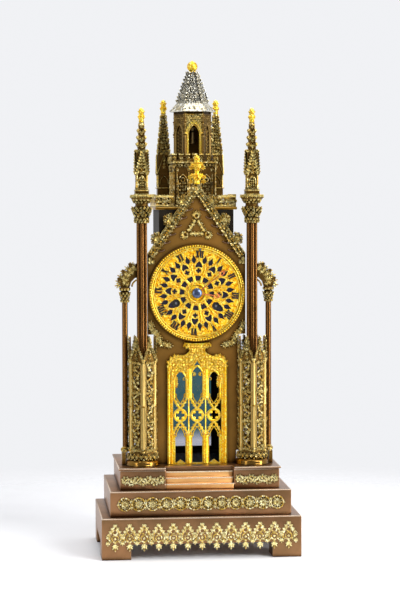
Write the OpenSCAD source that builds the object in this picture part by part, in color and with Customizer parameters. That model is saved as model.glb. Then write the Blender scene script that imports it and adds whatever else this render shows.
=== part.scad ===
// Cathedral clock: a mantel clock in the form of a gothic west front, in patinated and gilt bronze.
// The origin is the middle of the footprint on the surface that the clock stands on.
// X runs to the viewer's right, Y to the back and Z up. Lengths are in millimetres.

/* [Plinth] */
// Width of the lowest tier
base_w = 250; // [236:1:280]
// Depth of the lowest tier
base_d = 164; // [162:1:190]
// Height of the lowest tier
base_h = 51.8; // [48:0.1:66]
// Width of the gap between the front feet
arch_w = 177; // [120:1:184]
// Height of the gaps between the feet
arch_h = 19; // [10:0.5:24]
// Step back of each tier at the front and the sides
tier_inset = 11.3; // [8:0.1:12]
// Height of the middle tier
middle_h = 31.7; // [26:0.1:45]
// Height of the upper tier
upper_h = 25; // [20:0.1:36]
// Thickness of the slab on the upper tier
slab_h = 2.3; // [1.6:0.1:4]
// How far the slab stands out over the upper tier
slab_lip = 2; // [1:0.1:3]
// Thickness of the plinth's plates
plate_t = 3; // [2:0.1:4]
// Width of the flight of steps
stair_w = 86; // [60:1:94]
// Depth of the flight of steps
stair_d = 14.4; // [12:0.1:18]
// Height of the landing's face over the top step
landing_h = 6; // [4:0.1:9]
// Number of steps
stair_n = 3; // [2:1:4]

/* [Front] */
// From the lowest tier's front to the front of the wall plate
wall_setback = 63; // [60:0.5:66]
// Thickness of the wall plate
wall_t = 3; // [2:0.1:4]
// Height of the wall from the slab to the foot of the gable
wall_h = 267.2; // [260:0.5:280]
// Height of the gable
gable_rise = 91; // [80:0.5:100]
// Distance of each main column from the middle
column_x = 69.9; // [69:0.1:74]
// How far the main columns stand in front of the wall
column_ahead = 6; // [4:0.1:8]
// Radius round a main column's cluster of shafts
column_r = 7.2; // [6:0.1:7.6]
// Height of a main column up to its capital
column_h = 306.2; // [296:0.5:316]
// Distance of each outer column from the middle
outer_x = 91.4; // [91:0.1:96]
// Radius of an outer column
outer_r = 3.6; // [2.6:0.1:3.9]
// Height of an outer column's shaft
outer_h = 206.2; // [196:0.5:212]

/* [Dial] */
// Radius of the dial with its beaded rim
dial_r = 61.8; // [61:0.1:63]
// Height of the dial's centre over the slab
dial_h = 217.4; // [216.4:0.1:221]
// How far the dial and the movement are turned clockwise in the wall, in degrees
dial_turn = 4.4; // [0:0.1:6]
// Thickness of the pierced dial
dial_t = 1.2; // [0.8:0.1:1.6]
// Radius from the centre to each winding square
winding_r = 29.5; // [29:0.1:30]

/* [Portal] */
// Half the width of the portal's frame
portal_hw = 38; // [37:0.1:40]
// Distance between the middles of neighbouring lights
light_pitch = 21.5; // [21:0.1:22.4]
// Width of each light
light_w = 13.2; // [12:0.1:14]
// Height of the side lights' heads over the slab
light_h = 118; // [112:0.5:121]
// Height of the middle light's point over the slab
middle_light_h = 131; // [129:0.5:133]

/* [Building] */
// Half the width of the nave behind the wall plate
nave_hw = 47.5; // [47:0.1:49]
// Height of the nave's walls over the slab
nave_h = 323; // [316:0.5:330]
// From the lowest tier's front to the back of the nave
nave_back = 159; // [158:0.5:160]
// Thickness of the nave's walls
nave_t = 2.5; // [2:0.1:3]
// Height of the openwork parapet over its ledge
parapet_h = 14.4; // [10:0.1:18]
// Width of the square tower stage
tower_w = 53.6; // [50:0.1:54]
// Height of the tower stage with its platform
tower_h = 58.8; // [50:0.1:66]
// Radius to the corners of the six-sided belfry
belfry_r = 23.1; // [22:0.1:24]
// Height of the belfry over the platform
belfry_h = 62; // [56:0.5:68]
// Radius to the corners of the roof's eaves
roof_r = 29.2; // [27:0.1:31]
// Height of the roof up to its ball
roof_h = 51.5; // [46:0.1:56]
// Radius of the ball on the roof
ball_r = 6.8; // [5:0.1:8]
// Width of the pinnacles' shafts
pinnacle_w = 13.2; // [11:0.1:14]
// Width of the rear pinnacles' shafts
rear_pinnacle_w = 16; // [13:0.1:17]

/* [Movement] */
// Radius of the movement's plates
mplate_r = 42; // [41:0.1:43]
// Distance between the movement's plates
mplate_gap = 31.5; // [31:0.1:33]
// Radius of each spring barrel
barrel_r = 12.5; // [10:0.1:12.8]
// Length of the pendulum from its hinge to the middle of its bob
pendulum_l = 102; // [80:0.5:104]
// Radius of the pendulum's bob
bob_r = 12; // [8:0.1:14]
// Radius of the striking bell
gong_r = 28; // [24:0.1:28.4]
// Radius of the belfry bell's rim
bell_r = 6; // [4.5:0.1:7]

/* [Hidden] */
$fn = 48;

// Overlap of two solids that are joined, and overrun of a cut
joint = 0.4;
over = 1;
// Running clearance of a pivot or a sliding fit on its radius, and free air between moving pieces
run = 0.05;
air = 0.3;
// Relief of the mounts over the surface that they are pinned to
relief = 2;

// Heights of the tiers and of the floor that the building stands on
z_mid = base_h;
z_up = z_mid + middle_h;
z_slab = z_up + upper_h;
floor_z = z_slab + slab_h;
// Front and back of the lowest tier, placed so that tier and frieze together are centred on Y
y_front = -(base_d - relief) / 2;
y_back = (base_d + relief) / 2;
mid_front = y_front + tier_inset;
slab_front = y_front + 2 * tier_inset;
mid_w = base_w - 2 * tier_inset;
slab_w = base_w - 4 * tier_inset;
upper_w = slab_w - 2 * slab_lip;
upper_front = slab_front + slab_lip;
landing_y = upper_front + stair_d;
foot_w = (base_w - arch_w) / 2;

// The wall plate's front and back, the gable and the columns
wall_y = y_front + wall_setback;
wall_back = wall_y + wall_t;
gable_z = floor_z + wall_h;
apex_z = gable_z + gable_rise;
column_y = wall_y - column_ahead;
outer_y = column_y + 4;
gable_hw = column_x - column_r - 0.4;
sleeve_r = 17.5;
sleeve_shaft_r = 1.7;
sleeve_hw = sleeve_r * cos(30) + sleeve_shaft_r;
sleeve_h = 117;
sleeve_peak = 30;
base_ring_h = 16;
base_core_r = 17.5;
base_roll_r = 3.4;
base_r = base_core_r + base_roll_r;
sleeve_z = floor_z + base_ring_h;
notch_hw = column_x - sleeve_hw - 0.5;
notch_top = sleeve_z + sleeve_h + sleeve_peak + 2;
capital_z = floor_z + column_h;
capital_h = 35.4;
pinnacle_z = capital_z + capital_h;
pinnacle_h = 92;
outer_base_h = 20;
outer_capital_z = floor_z + outer_h;
outer_capital_h = 19;

// Dial, in front of the wall
dial_z = floor_z + dial_h;
rim_w = 4.3;
rim_t = 5;
rim_ledge = 4.6;
backing_t = 0.8;
dial_seat_y = wall_y - 2;
dial_front = dial_seat_y - dial_t;
dial_in_r = dial_r - rim_w;
numeral_t = 0.4;
hub_hole_r = 3.4;
winding_hole_r = 5.2;
going_pos = [winding_r * cos(30), -winding_r * sin(30)];
strike_pos = [-winding_r * cos(30), -winding_r * sin(30)];
regulator_pos = [0, 55.3];
regulator_r = 1.2;

// Half the width across all three lights where their mullions are slender, and the middle light's head
lights_hw = light_pitch + light_w / 2 + 2.7;
middle_head_h = middle_light_h - 7;

// Nave and what stands on it
nave_y = y_front + nave_back;
ledge_t = 3.9;
ledge_z = floor_z + nave_h + ledge_t;
ledge_lip = 3.7;
tower_y = wall_back + 47;
platform_z = ledge_z + tower_h;
platform_hw = tower_w / 2 + 2.2;
platform_t = 4;
crenel_h = 8;
belfry_z = platform_z;
belfry_wall = 2.2;
eaves_z = belfry_z + belfry_h;
rear_x = 34.3;
rear_y = nave_y - 7.7;
bell_axis_z = eaves_z - 20;
bell_h = 16;

// Rear door in its opening
door_hw = 36.5;
door_h = 262;
door_z = floor_z + 1.7;
door_t = 2.6;
door_border = 8;
opening_hw = 33;
opening_h = door_h - 5;
hinge_x = -(door_hw + 1.9);
hinge_y = nave_y + 1.9;
hinge_r = 1.6;
hinge_pin_r = 0.8;
hinge_heights = [40, 215];
knuckle_h = 6;
latch_x = opening_hw - 2;
latch_t = 1;
latch_l = 8;
latch_z = door_z + door_h / 2;

// Movement, with its arbors given as [x, z] from the dial's centre before the dial is turned
mplate_t = 2;
front_plate_y = wall_back + 5;
inner_y = front_plate_y + mplate_t;
back_plate_y = inner_y + mplate_gap;
rear_y_plate = back_plate_y + mplate_t;
second_pos = [14 * cos(-16.7), 14 * sin(-16.7)];
pin_wheel_pos = strike_pos + 16.2 * [cos(80), sin(80)];
minute_wheel_pos = 12 * [cos(20), sin(20)];
third_pos = [-6.41, 10.85];
escape_pos = [0, 18];
pallet_pos = [0, 30];
hammer_pos = [-36, 8];
gong_pos = [0, -2];
gong_y = rear_y_plate + 17;
gong_h = 15.5;
stand_pos = [22, -32];
rod_y = rear_y_plate + 7;
arbor_r = 1;
winding_arbor_r = 2;
arbor_hole_r = winding_arbor_r + 0.4;
centre_arbor_r = 1.2;
pipe_r = 2.3;
post_r = 2.5;
foot_post_at = 38.5;
// Modules of the gear teeth
great_m = 0.45;
train_m = 0.4;
centre_m = 0.35;
third_m = 0.3;
motion_m = 0.5;
hour_m = 0.48;
// Tooth counts
great_n = 60;
second_pinion_n = 12;
second_n = 60;
centre_pinion_n = 10;
centre_n = 64;
third_pinion_n = 8;
third_n = 56;
escape_pinion_n = 8;
escape_n = 30;
cannon_n = 12;
minute_n = 36;
minute_pinion_n = 10;
hour_n = 40;
// Planes of the wheels along Y
great_y = inner_y + 21.5;
second_y = inner_y + 25.5;
centre_y = inner_y + 15.5;
third_y = inner_y + 10.5;
escape_y = inner_y + 4.5;
wheel_t = 1.2;

// Colours
bronze = "#6b4a33";
column_brown = "#7a4a1e";
ormolu = "#c9b060";
gilt = "#f0c030";
copper = "#d9a45c";
silver_gilt = "#d8d0b0";
navy = "#14122e";
brass = "#c8a04a";
steel = "#8a8f98";

// Stands a flat shape up on the XZ plane, its front at y and its depth t towards the back
module upright(y, t) {
    translate([0, y + t, 0]) rotate([90, 0, 0]) linear_extrude(t) children();
}

// A round bar along Y from y0 to y1
module bar_y(r, y0, y1) {
    translate([0, y1, 0]) rotate([90, 0, 0]) cylinder(r = r, h = y1 - y0);
}

// Both sides of the middle plane
module both_sides() {
    children();
    mirror([1, 0, 0]) children();
}

// Moves to the dial's centre, turned as the dial is, and on to the arbor at p
module in_dial(p = [0, 0]) {
    translate([0, 0, dial_z]) rotate([0, dial_turn, 0]) translate([p[0], 0, p[1]]) children();
}

// Flat bar of width w from a to b
module stroke(a, b, w) {
    d = b - a;
    translate(a) rotate(atan2(d[1], d[0])) translate([0, -w / 2]) square([norm(d), w]);
}

// Flat ring
module ring(r, w) {
    difference() {
        circle(r);
        circle(r - w);
    }
}

// Pointed arch of width w standing on the X axis, its sides upright up to height s
module pointed_arch(w, s) {
    translate([-w / 2, 0]) square([w, s + joint]);
    translate([0, s]) intersection() {
        translate([-w / 2, 0]) circle(w);
        translate([w / 2, 0]) circle(w);
        translate([-w / 2, 0]) square([w, w]);
    }
}

// Frame of a pointed arch, w wide outside, with bars b wide
module arch_band(w, s, b) {
    difference() {
        pointed_arch(w, s);
        translate([0, -over]) pointed_arch(w - 2 * b, s + over);
    }
}

// Flat foil of n lobes
module foil(r, n) {
    circle(r * 0.6);
    for (i = [0 : n - 1]) rotate(i * 360 / n) translate([0, r * 0.62]) circle(r * 0.5);
}

// Box between two corners
module block(a, b) {
    translate(a) cube(b - a);
}

// Lowest tier: an open box on corner feet, with gaps between them
module lower_plinth() color(bronze) difference() {
    block([-base_w / 2, y_front, 0], [base_w / 2, y_back, base_h]);
    difference() {
        block([-base_w / 2 + plate_t, y_front + plate_t, -over],
              [base_w / 2 - plate_t, y_back - plate_t, base_h - plate_t]);
        for (x = [-1, 1], y = [y_front, y_back])
            translate([x * base_w / 2, y, arch_h / 2]) cube([2 * foot_w, 2 * foot_w, arch_h], center = true);
    }
    block([-arch_w / 2, y_front - over, -over], [arch_w / 2, y_back + over, arch_h]);
    block([-base_w / 2 - over, y_front + foot_w, -over], [base_w / 2 + over, y_back - foot_w, arch_h]);
}

// One hanging motif of the lambrequin: a cusped arch with a pendant, its top at the origin
motif_w = 18.1;
motif_h = 33;
module lambrequin_motif() {
    translate([0, -19]) arch_band(14.4, 6.5, 2.4);
    translate([0, -10]) ring(4.2, 1.5);
    translate([0, -18.5]) ring(4.6, 1.6);
    translate([0, -25]) circle(2.6);
    translate([0, -29.8]) foil(2.9, 4);
    stroke([0, -24], [0, -31], 1.6);
    for (x = [-1, 1]) {
        stroke([x * 6, -19], [x * motif_w / 2, -22], 2.2);
        translate([x * (motif_w / 2 - 1.4), -21.5]) circle(1.9);
    }
    circle(1.5);
}

// Lambrequin frieze pinned to the front of the lowest tier
module lambrequin_frieze() color(ormolu) {
    n = floor((base_w - 12) / motif_w);
    upright(y_front - relief, relief) for (i = [0 : n - 1])
        translate([(i - (n - 1) / 2) * motif_w, base_h - 11.5]) lambrequin_motif();
}

// Middle tier: a box open below
module middle_plinth() color(bronze) difference() {
    block([-mid_w / 2, mid_front, z_mid], [mid_w / 2, y_back, z_up]);
    block([-mid_w / 2 + plate_t, mid_front + plate_t, z_mid - over],
          [mid_w / 2 - plate_t, y_back - plate_t, z_up - plate_t]);
}

// Row of rosette roundels on the middle tier
roundel_d = 17.4;
module roundel_frieze() color(ormolu) {
    n = floor((mid_w - 14) / roundel_d);
    upright(mid_front - relief, relief) translate([0, z_mid + middle_h / 2]) {
        for (i = [0 : n - 1]) translate([(i - (n - 1) / 2) * roundel_d, 0]) {
            ring(roundel_d / 2 + 0.1, 1.5);
            foil(4.6, 6);
            for (a = [0 : 60 : 300]) rotate(a) stroke([0, 3], [0, 7.8], 1.2);
        }
        for (i = [0 : n - 2]) translate([(i - (n - 2) / 2) * roundel_d, -roundel_d / 2 + 3.4]) circle(1.9);
    }
}

// Outline of the upper tier or its slab, cut back in the middle for the steps, drawn in by i
module tier_outline(w, front, i) {
    polygon([
        [-w / 2 + i, y_back - i], [-w / 2 + i, front + i], [-stair_w / 2 - i, front + i],
        [-stair_w / 2 - i, landing_y + i], [stair_w / 2 + i, landing_y + i],
        [stair_w / 2 + i, front + i], [w / 2 - i, front + i], [w / 2 - i, y_back - i],
    ]);
}

// Upper tier: walls round the back and both blocks beside the steps
module upper_plinth() color(bronze) translate([0, 0, z_up]) linear_extrude(upper_h) difference() {
    tier_outline(upper_w, upper_front, 0);
    tier_outline(upper_w, upper_front, plate_t);
}

// Scrolling foliate mounts on the two blocks
scroll_w = 50;
module scroll_mounts() color(ormolu) {
    middle = (stair_w + upper_w) / 4;
    both_sides() upright(upper_front - relief, relief) translate([middle, z_up + upper_h / 2 - 1]) {
        for (i = [0 : 4]) translate([(i - 2) * scroll_w / 5, (i % 2) * 2 - 1]) {
            ring(5.3, 1.7);
            circle(2);
            rotate(i * 40) stroke([0, 0], [0, 5], 1.6);
        }
        for (x = [-1, 1]) translate([x * (scroll_w / 2 - 0.5), 0]) circle(2);
        stroke([-scroll_w / 2, 1], [scroll_w / 2, 1], 1.6);
    }
}

// Slab that carries the building
module terrace_slab() color(bronze) translate([0, 0, z_slab]) linear_extrude(slab_h)
    tier_outline(slab_w, slab_front, 0);

// Flight of steps, one casting with a stepped side view
module steps() color(copper) {
    rise = (floor_z - landing_h - z_up) / stair_n;
    going = stair_d / stair_n;
    for (i = [0 : stair_n - 1])
        block([-stair_w / 2 + air, upper_front + i * going, z_up + i * rise - (i > 0 ? joint : 0)],
              [stair_w / 2 - air, landing_y, z_up + (i + 1) * rise]);
}

// Outline of the wall plate: cut back beside the column sleeves, and gabled
module facade_outline() polygon([
    [-notch_hw, floor_z], [notch_hw, floor_z], [notch_hw, notch_top], [gable_hw, notch_top],
    [gable_hw, gable_z], [0, apex_z], [-gable_hw, gable_z], [-gable_hw, notch_top],
    [-notch_hw, notch_top],
]);

// Opening in the wall behind the portal's lights
wall_light_hw = lights_hw + 0.6;
module facade_opening() polygon([
    [-wall_light_hw, floor_z - over], [wall_light_hw, floor_z - over],
    [wall_light_hw, floor_z + light_h + 2], [light_w / 2 + 2, floor_z + light_h + 4],
    [0, floor_z + middle_light_h + 2], [-light_w / 2 - 2, floor_z + light_h + 4],
    [-wall_light_hw, floor_z + light_h + 2],
]);

module facade_plate() color(bronze) difference() {
    upright(wall_y, wall_t) difference() {
        facade_outline();
        facade_opening();
    }
    in_dial() bar_y(35, wall_y - over, wall_back + over);
    in_dial(regulator_pos) bar_y(regulator_r + run, wall_y - over, wall_back + over);
    both_sides() translate([column_x, column_y, floor_z - over])
        cylinder(r = base_r + air, h = base_ring_h + over + air);
}

// Raking cornice of the gable with its cusped inner edge and leaf crockets
cornice_t = 5;
cornice_w = 8.5;
rake = atan2(gable_rise, gable_hw);
rake_l = norm([gable_rise, gable_hw]);
crocket_at = [0.2, 0.46, 0.72];
// Leaves of one crocket: place along and across the rake, and radius
CROCKET_LEAVES = [[0, 2, 6], [6, 4.4, 3.8], [-5.4, 3.6, 3.6], [0.4, 7.4, 3.2]];
module cornice_outline() difference() {
    both_sides() translate([-gable_hw, gable_z]) rotate(rake) {
        translate([0, -cornice_w]) square([rake_l, cornice_w]);
        for (i = [0 : 7]) translate([6 + i * 12, -cornice_w]) circle(3);
        for (f = crocket_at, p = CROCKET_LEAVES) translate([f * rake_l + p[0], p[1]]) circle(p[2]);
    }
    both_sides() translate([gable_hw, 0]) square([gable_hw, 2 * apex_z]);
}
module gable_cornice() color(ormolu) upright(wall_y - cornice_t, cornice_t) cornice_outline();

// Trefoil triangle in the gable's field
trefoil_z = floor_z + 301;
module trefoil_mount() color(ormolu) upright(wall_y - relief, relief) translate([0, trefoil_z]) {
    ring(9, 1.8);
    for (a = [90, 210, 330]) rotate(a) translate([14, 0]) {
        ring(4.6, 1.8);
        translate([5, 0]) circle(2.2);
    }
    for (a = [90, 210, 330]) rotate(a) stroke([8, 5], [13, 2.6], 1.6);
    for (a = [90, 210, 330]) rotate(a) stroke([8, -5], [13, -2.6], 1.6);
}

// Leafy mounts in the corners below the dial and at the gable's feet
// Leaves of a corner mount: place from the wall plate's corner, and radius
CORNER_LEAVES = [
    [26.3, -13.3, 3], [21.8, -12.3, 3.4], [17.3, -10.8, 3.6], [13.7, -7.3, 3.6], [13.5, -1.8, 3.5],
    [9.8, 3.3, 3.2], [5.8, 6.2, 3], [3.5, 10.2, 2.6], [3.1, 14.2, 2.2],
];
// Leaves of a small mount: place from the gable's foot
FOOT_LEAVES = [[2.8, -10.8], [6.8, -10.4], [3, -6.6]];
module corner_mounts() color(ormolu) {
    both_sides() upright(wall_y - relief, relief) difference() {
        union() {
            for (p = CORNER_LEAVES) translate([-gable_hw + p[0], notch_top + p[1]]) circle(p[2]);
            for (p = FOOT_LEAVES) translate([-gable_hw + p[0], gable_z + p[1]]) circle(2.4);
        }
        cornice_outline();
    }
}

// Leaf bouquet that straddles the gable's point
finial_y = wall_y - 6;
module gable_finial() color(gilt) {
    difference() {
        translate([0, finial_y - 1, apex_z + 3]) {
            for (x = [-1, 1]) translate([x * 7, 0, 0]) sphere(4.6);
            sphere(5.4);
        }
        upright(wall_y - cornice_t, 2 * cornice_t) both_sides()
            translate([-gable_hw, gable_z]) rotate(rake) translate([0, -20]) square([rake_l + 4, 20]);
    }
    translate([0, finial_y, apex_z + 2]) cylinder(r1 = 4, r2 = 2.6, h = 12);
    translate([0, finial_y, apex_z + 14]) sphere(5);
    for (a = [0 : 72 : 288]) translate([0, finial_y, apex_z + 22]) rotate([0, 0, a + 18])
        translate([4.4, 0, 0]) sphere(3.6);
    translate([0, finial_y, apex_z + 16]) cylinder(r = 3, h = 12);
    translate([0, finial_y, apex_z + 28]) cylinder(r1 = 4, r2 = 0.6, h = 6);
}

// Beaded rim of the dial, with the rebate that holds the dial plate
module dial_bezel() color(gilt) in_dial() difference() {
    union() {
        difference() {
            bar_y(dial_r, wall_y - rim_t + 1, wall_y);
            bar_y(dial_in_r, wall_y - rim_t, wall_y + over);
        }
        difference() {
            bar_y(dial_r - 0.8, wall_y - rim_t, wall_y - 1);
            bar_y(dial_in_r + 0.8, wall_y - rim_t - over, wall_y);
        }
        difference() {
            bar_y(dial_in_r + joint, dial_seat_y, wall_y - backing_t);
            bar_y(dial_in_r - rim_ledge, dial_seat_y - over, wall_y + over);
        }
    }
    translate(to3(regulator_pos)) bar_y(regulator_r + 0.6, wall_y - 2 * rim_t, wall_y + over);
}

// A point [x, z] of the dial in space
function to3(p) = [p[0], 0, p[1]];

// One opening of each ring of the rose
module rose_inner() {
    translate([0, 22]) mirror([0, 1]) pointed_arch(6.6, 2.2);
    for (x = [-1, 1]) translate([x * 2.8, 20.4]) circle(1.2);
}
module rose_outer() {
    translate([0, 32.4]) pointed_arch(8.2, 0.9);
    for (x = [-1, 1]) translate([x * 3.6, 33.6]) circle(1.3);
}
module rose_flame() {
    polygon([[0, 37.4], [2.6, 40], [3, 43], [1.2, 46], [0, 49.2], [-1.2, 46], [-3, 43], [-2.6, 40]]);
}

// Pierced dial with its rose window
module dial_plate() color(gilt) in_dial() difference() {
    bar_y(dial_in_r, dial_front, dial_seat_y);
    upright(dial_front - over, dial_t + 2 * over) {
        circle(hub_hole_r);
        for (i = [0 : 11]) rotate(i * 30) {
            rose_inner();
            translate([0, 28.4]) foil(3, 4);
            rose_outer();
            for (a = [-9.4, 9.4]) rotate(a) rose_flame();
        }
        for (p = [going_pos, strike_pos]) translate(p) circle(winding_hole_r);
        translate(regulator_pos) circle(regulator_r + 0.6);
    }
}

// Dark plate behind the rose
module dial_backing() color(navy) in_dial() difference() {
    bar_y(dial_in_r - 0.2, wall_y - backing_t, wall_y);
    bar_y(hub_hole_r, wall_y - 5, wall_y + 5);
    for (p = [going_pos, strike_pos]) translate(to3(p)) bar_y(arbor_hole_r, wall_y - 5, wall_y + 5);
    translate(to3(regulator_pos)) bar_y(regulator_r + 0.6, wall_y - 5, wall_y + 5);
}

// Strokes of the hour numerals, 8 high and centred, drawn from I, V and X
NUMERALS = ["XII", "I", "II", "III", "IIII", "V", "VI", "VII", "VIII", "IX", "X", "XI"];
numeral_h = 8;
numeral_top_r = 53.4;
function char_w(c) = c == "I" ? 2.1 : 4.2;
function sum_w(s, n) = n == 0 ? 0 : char_w(s[n - 1]) + sum_w(s, n - 1);
module numeral_char(c) {
    h = numeral_h / 2;
    if (c == "I") stroke([0, -h], [0, h], 1.3);
    if (c == "V") {
        stroke([-1.5, h], [0, -h], 1.3);
        stroke([1.4, h], [0, -h], 0.6);
    }
    if (c == "X") {
        stroke([-1.4, h], [1.4, -h], 1.3);
        stroke([1.4, h], [-1.4, -h], 0.6);
    }
}
module numerals() color("black") in_dial() upright(dial_front - numeral_t, numeral_t)
    for (i = [0 : 11]) rotate(-30 * i) translate([0, numeral_top_r - numeral_h / 2]) {
        s = NUMERALS[i];
        for (k = [0 : len(s) - 1])
            translate([sum_w(s, k) + char_w(s[k]) / 2 - sum_w(s, len(s)) / 2, 0]) numeral_char(s[k]);
    }

// Gilt portal: outline with its shoulders and crest, over the lights
portal_t = 5;
mullion_low = 37;
sill_h = 1.6;
mullion_high = 84;
module portal_outline() polygon([
    [-portal_hw, 0], [portal_hw, 0], [portal_hw, 124], [portal_hw - 1.5, 129], [portal_hw - 5, 135],
    [27, 138], [20, 137], [13, 140.5], [9.5, 143.8], [11.5, 148], [17, 152], [16, 154.6], [7, 153.6],
    [-7, 153.6], [-16, 154.6], [-17, 152], [-11.5, 148], [-9.5, 143.8], [-13, 140.5], [-20, 137],
    [-27, 138], [-portal_hw + 5, 135], [-portal_hw + 1.5, 129], [-portal_hw, 124],
]);
module portal_light(h) pointed_arch(light_w, h - light_w * 0.866);
module portal_shape() {
    difference() {
        portal_outline();
        translate([0, sill_h]) {
            portal_light(middle_head_h - sill_h);
            for (x = [-1, 1]) translate([x * light_pitch, 0]) portal_light(light_h - sill_h);
        }
        translate([-lights_hw, mullion_low]) square([2 * lights_hw, mullion_high - mullion_low]);
        translate([0, middle_head_h + 1.6]) polygon([[-4.2, 0], [4.2, 0], [1.6, 3], [0, 5.8], [-1.6, 3]]);
    }
    for (x = [-1, 1]) {
        translate([x * (light_pitch + 6.4), 108]) circle(2.4);
        translate([x * (light_pitch + 6.2), 103]) circle(2.9);
        translate([x * light_pitch, 0]) polygon([[-5.6, 0], [5.6, 0], [5.6, sill_h], [0, sill_h + 4], [-5.6, sill_h]]);
    }
}
module portal_frame() color(gilt) upright(wall_y - portal_t, portal_t) translate([0, floor_z]) portal_shape();

// Tracery of the lights: a V, a ring with its quatrefoil and an arch, with slender mullions
tracery_y = wall_y - 3;
tracery_t = 2;
tracery_ring_z = 62;
module tracery_light() {
    reach = light_w / 2 + 0.8;
    both_sides() {
        stroke([0, tracery_ring_z + 8.5], [reach, mullion_high + 4.5], 1.9);
        stroke([0, tracery_ring_z - 8.5], [reach, mullion_low - 4.5], 1.9);
        for (s = [-1, 1]) translate([reach * 0.6, tracery_ring_z + s * 20.6]) circle(1.6);
        stroke([7, tracery_ring_z], [light_pitch / 2, tracery_ring_z], 1.4);
    }
    translate([0, tracery_ring_z]) difference() {
        circle(8.4);
        foil(5.4, 4);
    }
}
module portal_tracery() color(gilt) upright(tracery_y, tracery_t) translate([0, floor_z]) difference() {
    union() {
        for (i = [-1 : 1]) translate([i * light_pitch, 0]) tracery_light();
        for (x = [-1, 1]) translate([x * light_pitch / 2, 0]) stroke([0, mullion_low], [0, mullion_high], 1.6);
    }
    portal_shape();
}

// Main columns: six slender shafts round a core
module columns() color(column_brown) both_sides() translate([column_x, column_y, floor_z]) {
    cylinder(r = column_r - 2, h = column_h);
    for (a = [30 : 60 : 330]) rotate(a) translate([column_r - 2.5, 0, 0]) cylinder(r = 2.5, h = column_h);
}

// Moulded bases with a leaf ring, threaded on the columns
module column_base() difference() {
    union() {
        rotate_extrude() {
            square([base_core_r, base_ring_h]);
            translate([base_core_r, base_roll_r]) circle(base_roll_r);
            translate([base_core_r - 0.3, 12.5]) circle(2);
        }
        for (a = [0 : 20 : 340]) rotate(a) translate([17.4, 0, 12.2]) sphere(2.3);
    }
    translate([0, 0, -over]) cylinder(r = column_r + 0.2, h = base_ring_h + 2 * over);
    translate([-30, -30, -5]) cube([60, 60, 5]);
}
module column_bases() color(ormolu) both_sides() translate([column_x, column_y, floor_z]) column_base();

// One pierced panel of a sleeve, gabled, with stacked rings of foliage
module sleeve_panel() {
    w = sleeve_r;
    window_w = w - 6;
    difference() {
        polygon([[-w / 2, 0], [w / 2, 0], [w / 2, sleeve_h], [w * 0.3, sleeve_h + 9], [w * 0.12, sleeve_h + 14],
            [1.6, sleeve_h + sleeve_peak - 5], [0, sleeve_h + sleeve_peak], [-1.6, sleeve_h + sleeve_peak - 5],
            [-w * 0.12, sleeve_h + 14], [-w * 0.3, sleeve_h + 9], [-w / 2, sleeve_h]]);
        for (z = [6, 43, 80]) translate([0, z]) pointed_arch(window_w, 20);
    }
    for (z = [6, 43, 80]) translate([0, z]) {
        for (k = [0 : 1]) translate([0, 6 + k * 11.2]) ring(window_w / 2 + 0.2, 1.6);
        stroke([0, -1], [0, 30], 1.4);
    }
}

// Six-sided pierced sleeves round the lower columns, with slender shafts on their corners
module column_sleeve() {
    for (a = [30 : 60 : 330]) rotate(a) {
        upright(-sleeve_r * cos(30) - 0.9, 1.8) sleeve_panel();
        rotate(30) translate([0, -sleeve_r, 0]) cylinder(r = sleeve_shaft_r, h = sleeve_h);
    }
    for (x = [-1, 1]) translate([x * 2.9, -sleeve_r + 0.9, 0]) cylinder(r = 1.5, h = sleeve_h);
}
module column_sleeves() color(ormolu) both_sides()
    translate([column_x, column_y, sleeve_z]) column_sleeve();

// Leafy capitals of the main columns
module capitals() color(ormolu) both_sides() translate([column_x, column_y, capital_z]) {
    cylinder(r = column_r + 0.6, h = capital_h);
    translate([0, 0, 1]) cylinder(r = column_r + 1.8, h = 6.5);
    translate([0, 0, 9]) cylinder(r1 = column_r + 0.8, r2 = column_r + 4, h = 12);
    translate([0, 0, 20]) cylinder(r = column_r + 5, h = 3);
    for (a = [0 : 45 : 315]) rotate(a) translate([column_r + 3.2, 0, 18]) sphere(2.2);
    translate([0, 0, 27]) cylinder(r1 = column_r + 2.4, r2 = column_r + 4.4, h = 3.4 + joint);
    translate([0, 0, 30.4]) rotate(22.5) cylinder(r = 14.8, h = capital_h - 30.4, $fn = 8);
}

// Tapering square solid, w wide at its foot and v at its top
module taper(w, v, h) intersection() {
    upright(-w, 2 * w) polygon([[-w / 2, 0], [w / 2, 0], [v / 2, h], [-v / 2, h]]);
    rotate(90) upright(-w, 2 * w) polygon([[-w / 2, 0], [w / 2, 0], [v / 2, h], [-v / 2, h]]);
}

// Pinnacle: panelled shaft with a gablet on each face, and a spire with rings of crockets of radius hook
module pinnacle(w, shaft_h, spire_h, rings, spire_w, tip_w, hook) {
    gablet_h = 0.6 * shaft_h;
    foot = shaft_h - gablet_h;
    difference() {
        translate([-w / 2, -w / 2, 0]) cube([w, w, shaft_h]);
        for (a = [0 : 90 : 270]) rotate(a) upright(-w / 2 - over, over + 0.8)
            translate([0, 4]) pointed_arch(w - 5, max(1, foot - w));
    }
    for (a = [0 : 90 : 270]) rotate(a) {
        upright(-w / 2 - 1, 2) translate([0, foot]) polygon([[-w / 2 - 1, 0], [w / 2 + 1, 0], [0, gablet_h]]);
        translate([w / 2, w / 2, foot]) sphere(1.6);
    }
    translate([0, 0, shaft_h - joint]) taper(spire_w, tip_w, spire_h + joint);
    for (i = [1 : rings], a = [45 : 90 : 315]) {
        w_here = spire_w + (tip_w - spire_w) * i / (rings + 1);
        rotate(a) translate([w_here / sqrt(2), 0, shaft_h + i * spire_h / (rings + 1)]) sphere(hook);
    }
    translate([0, 0, shaft_h + spire_h - joint]) cylinder(r = 3, h = 1.8 + joint);
}
front_plinth_w = 17.2;
front_plinth_h = 6.4;
front_shaft_h = 49;
front_spire_h = 34;
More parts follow.
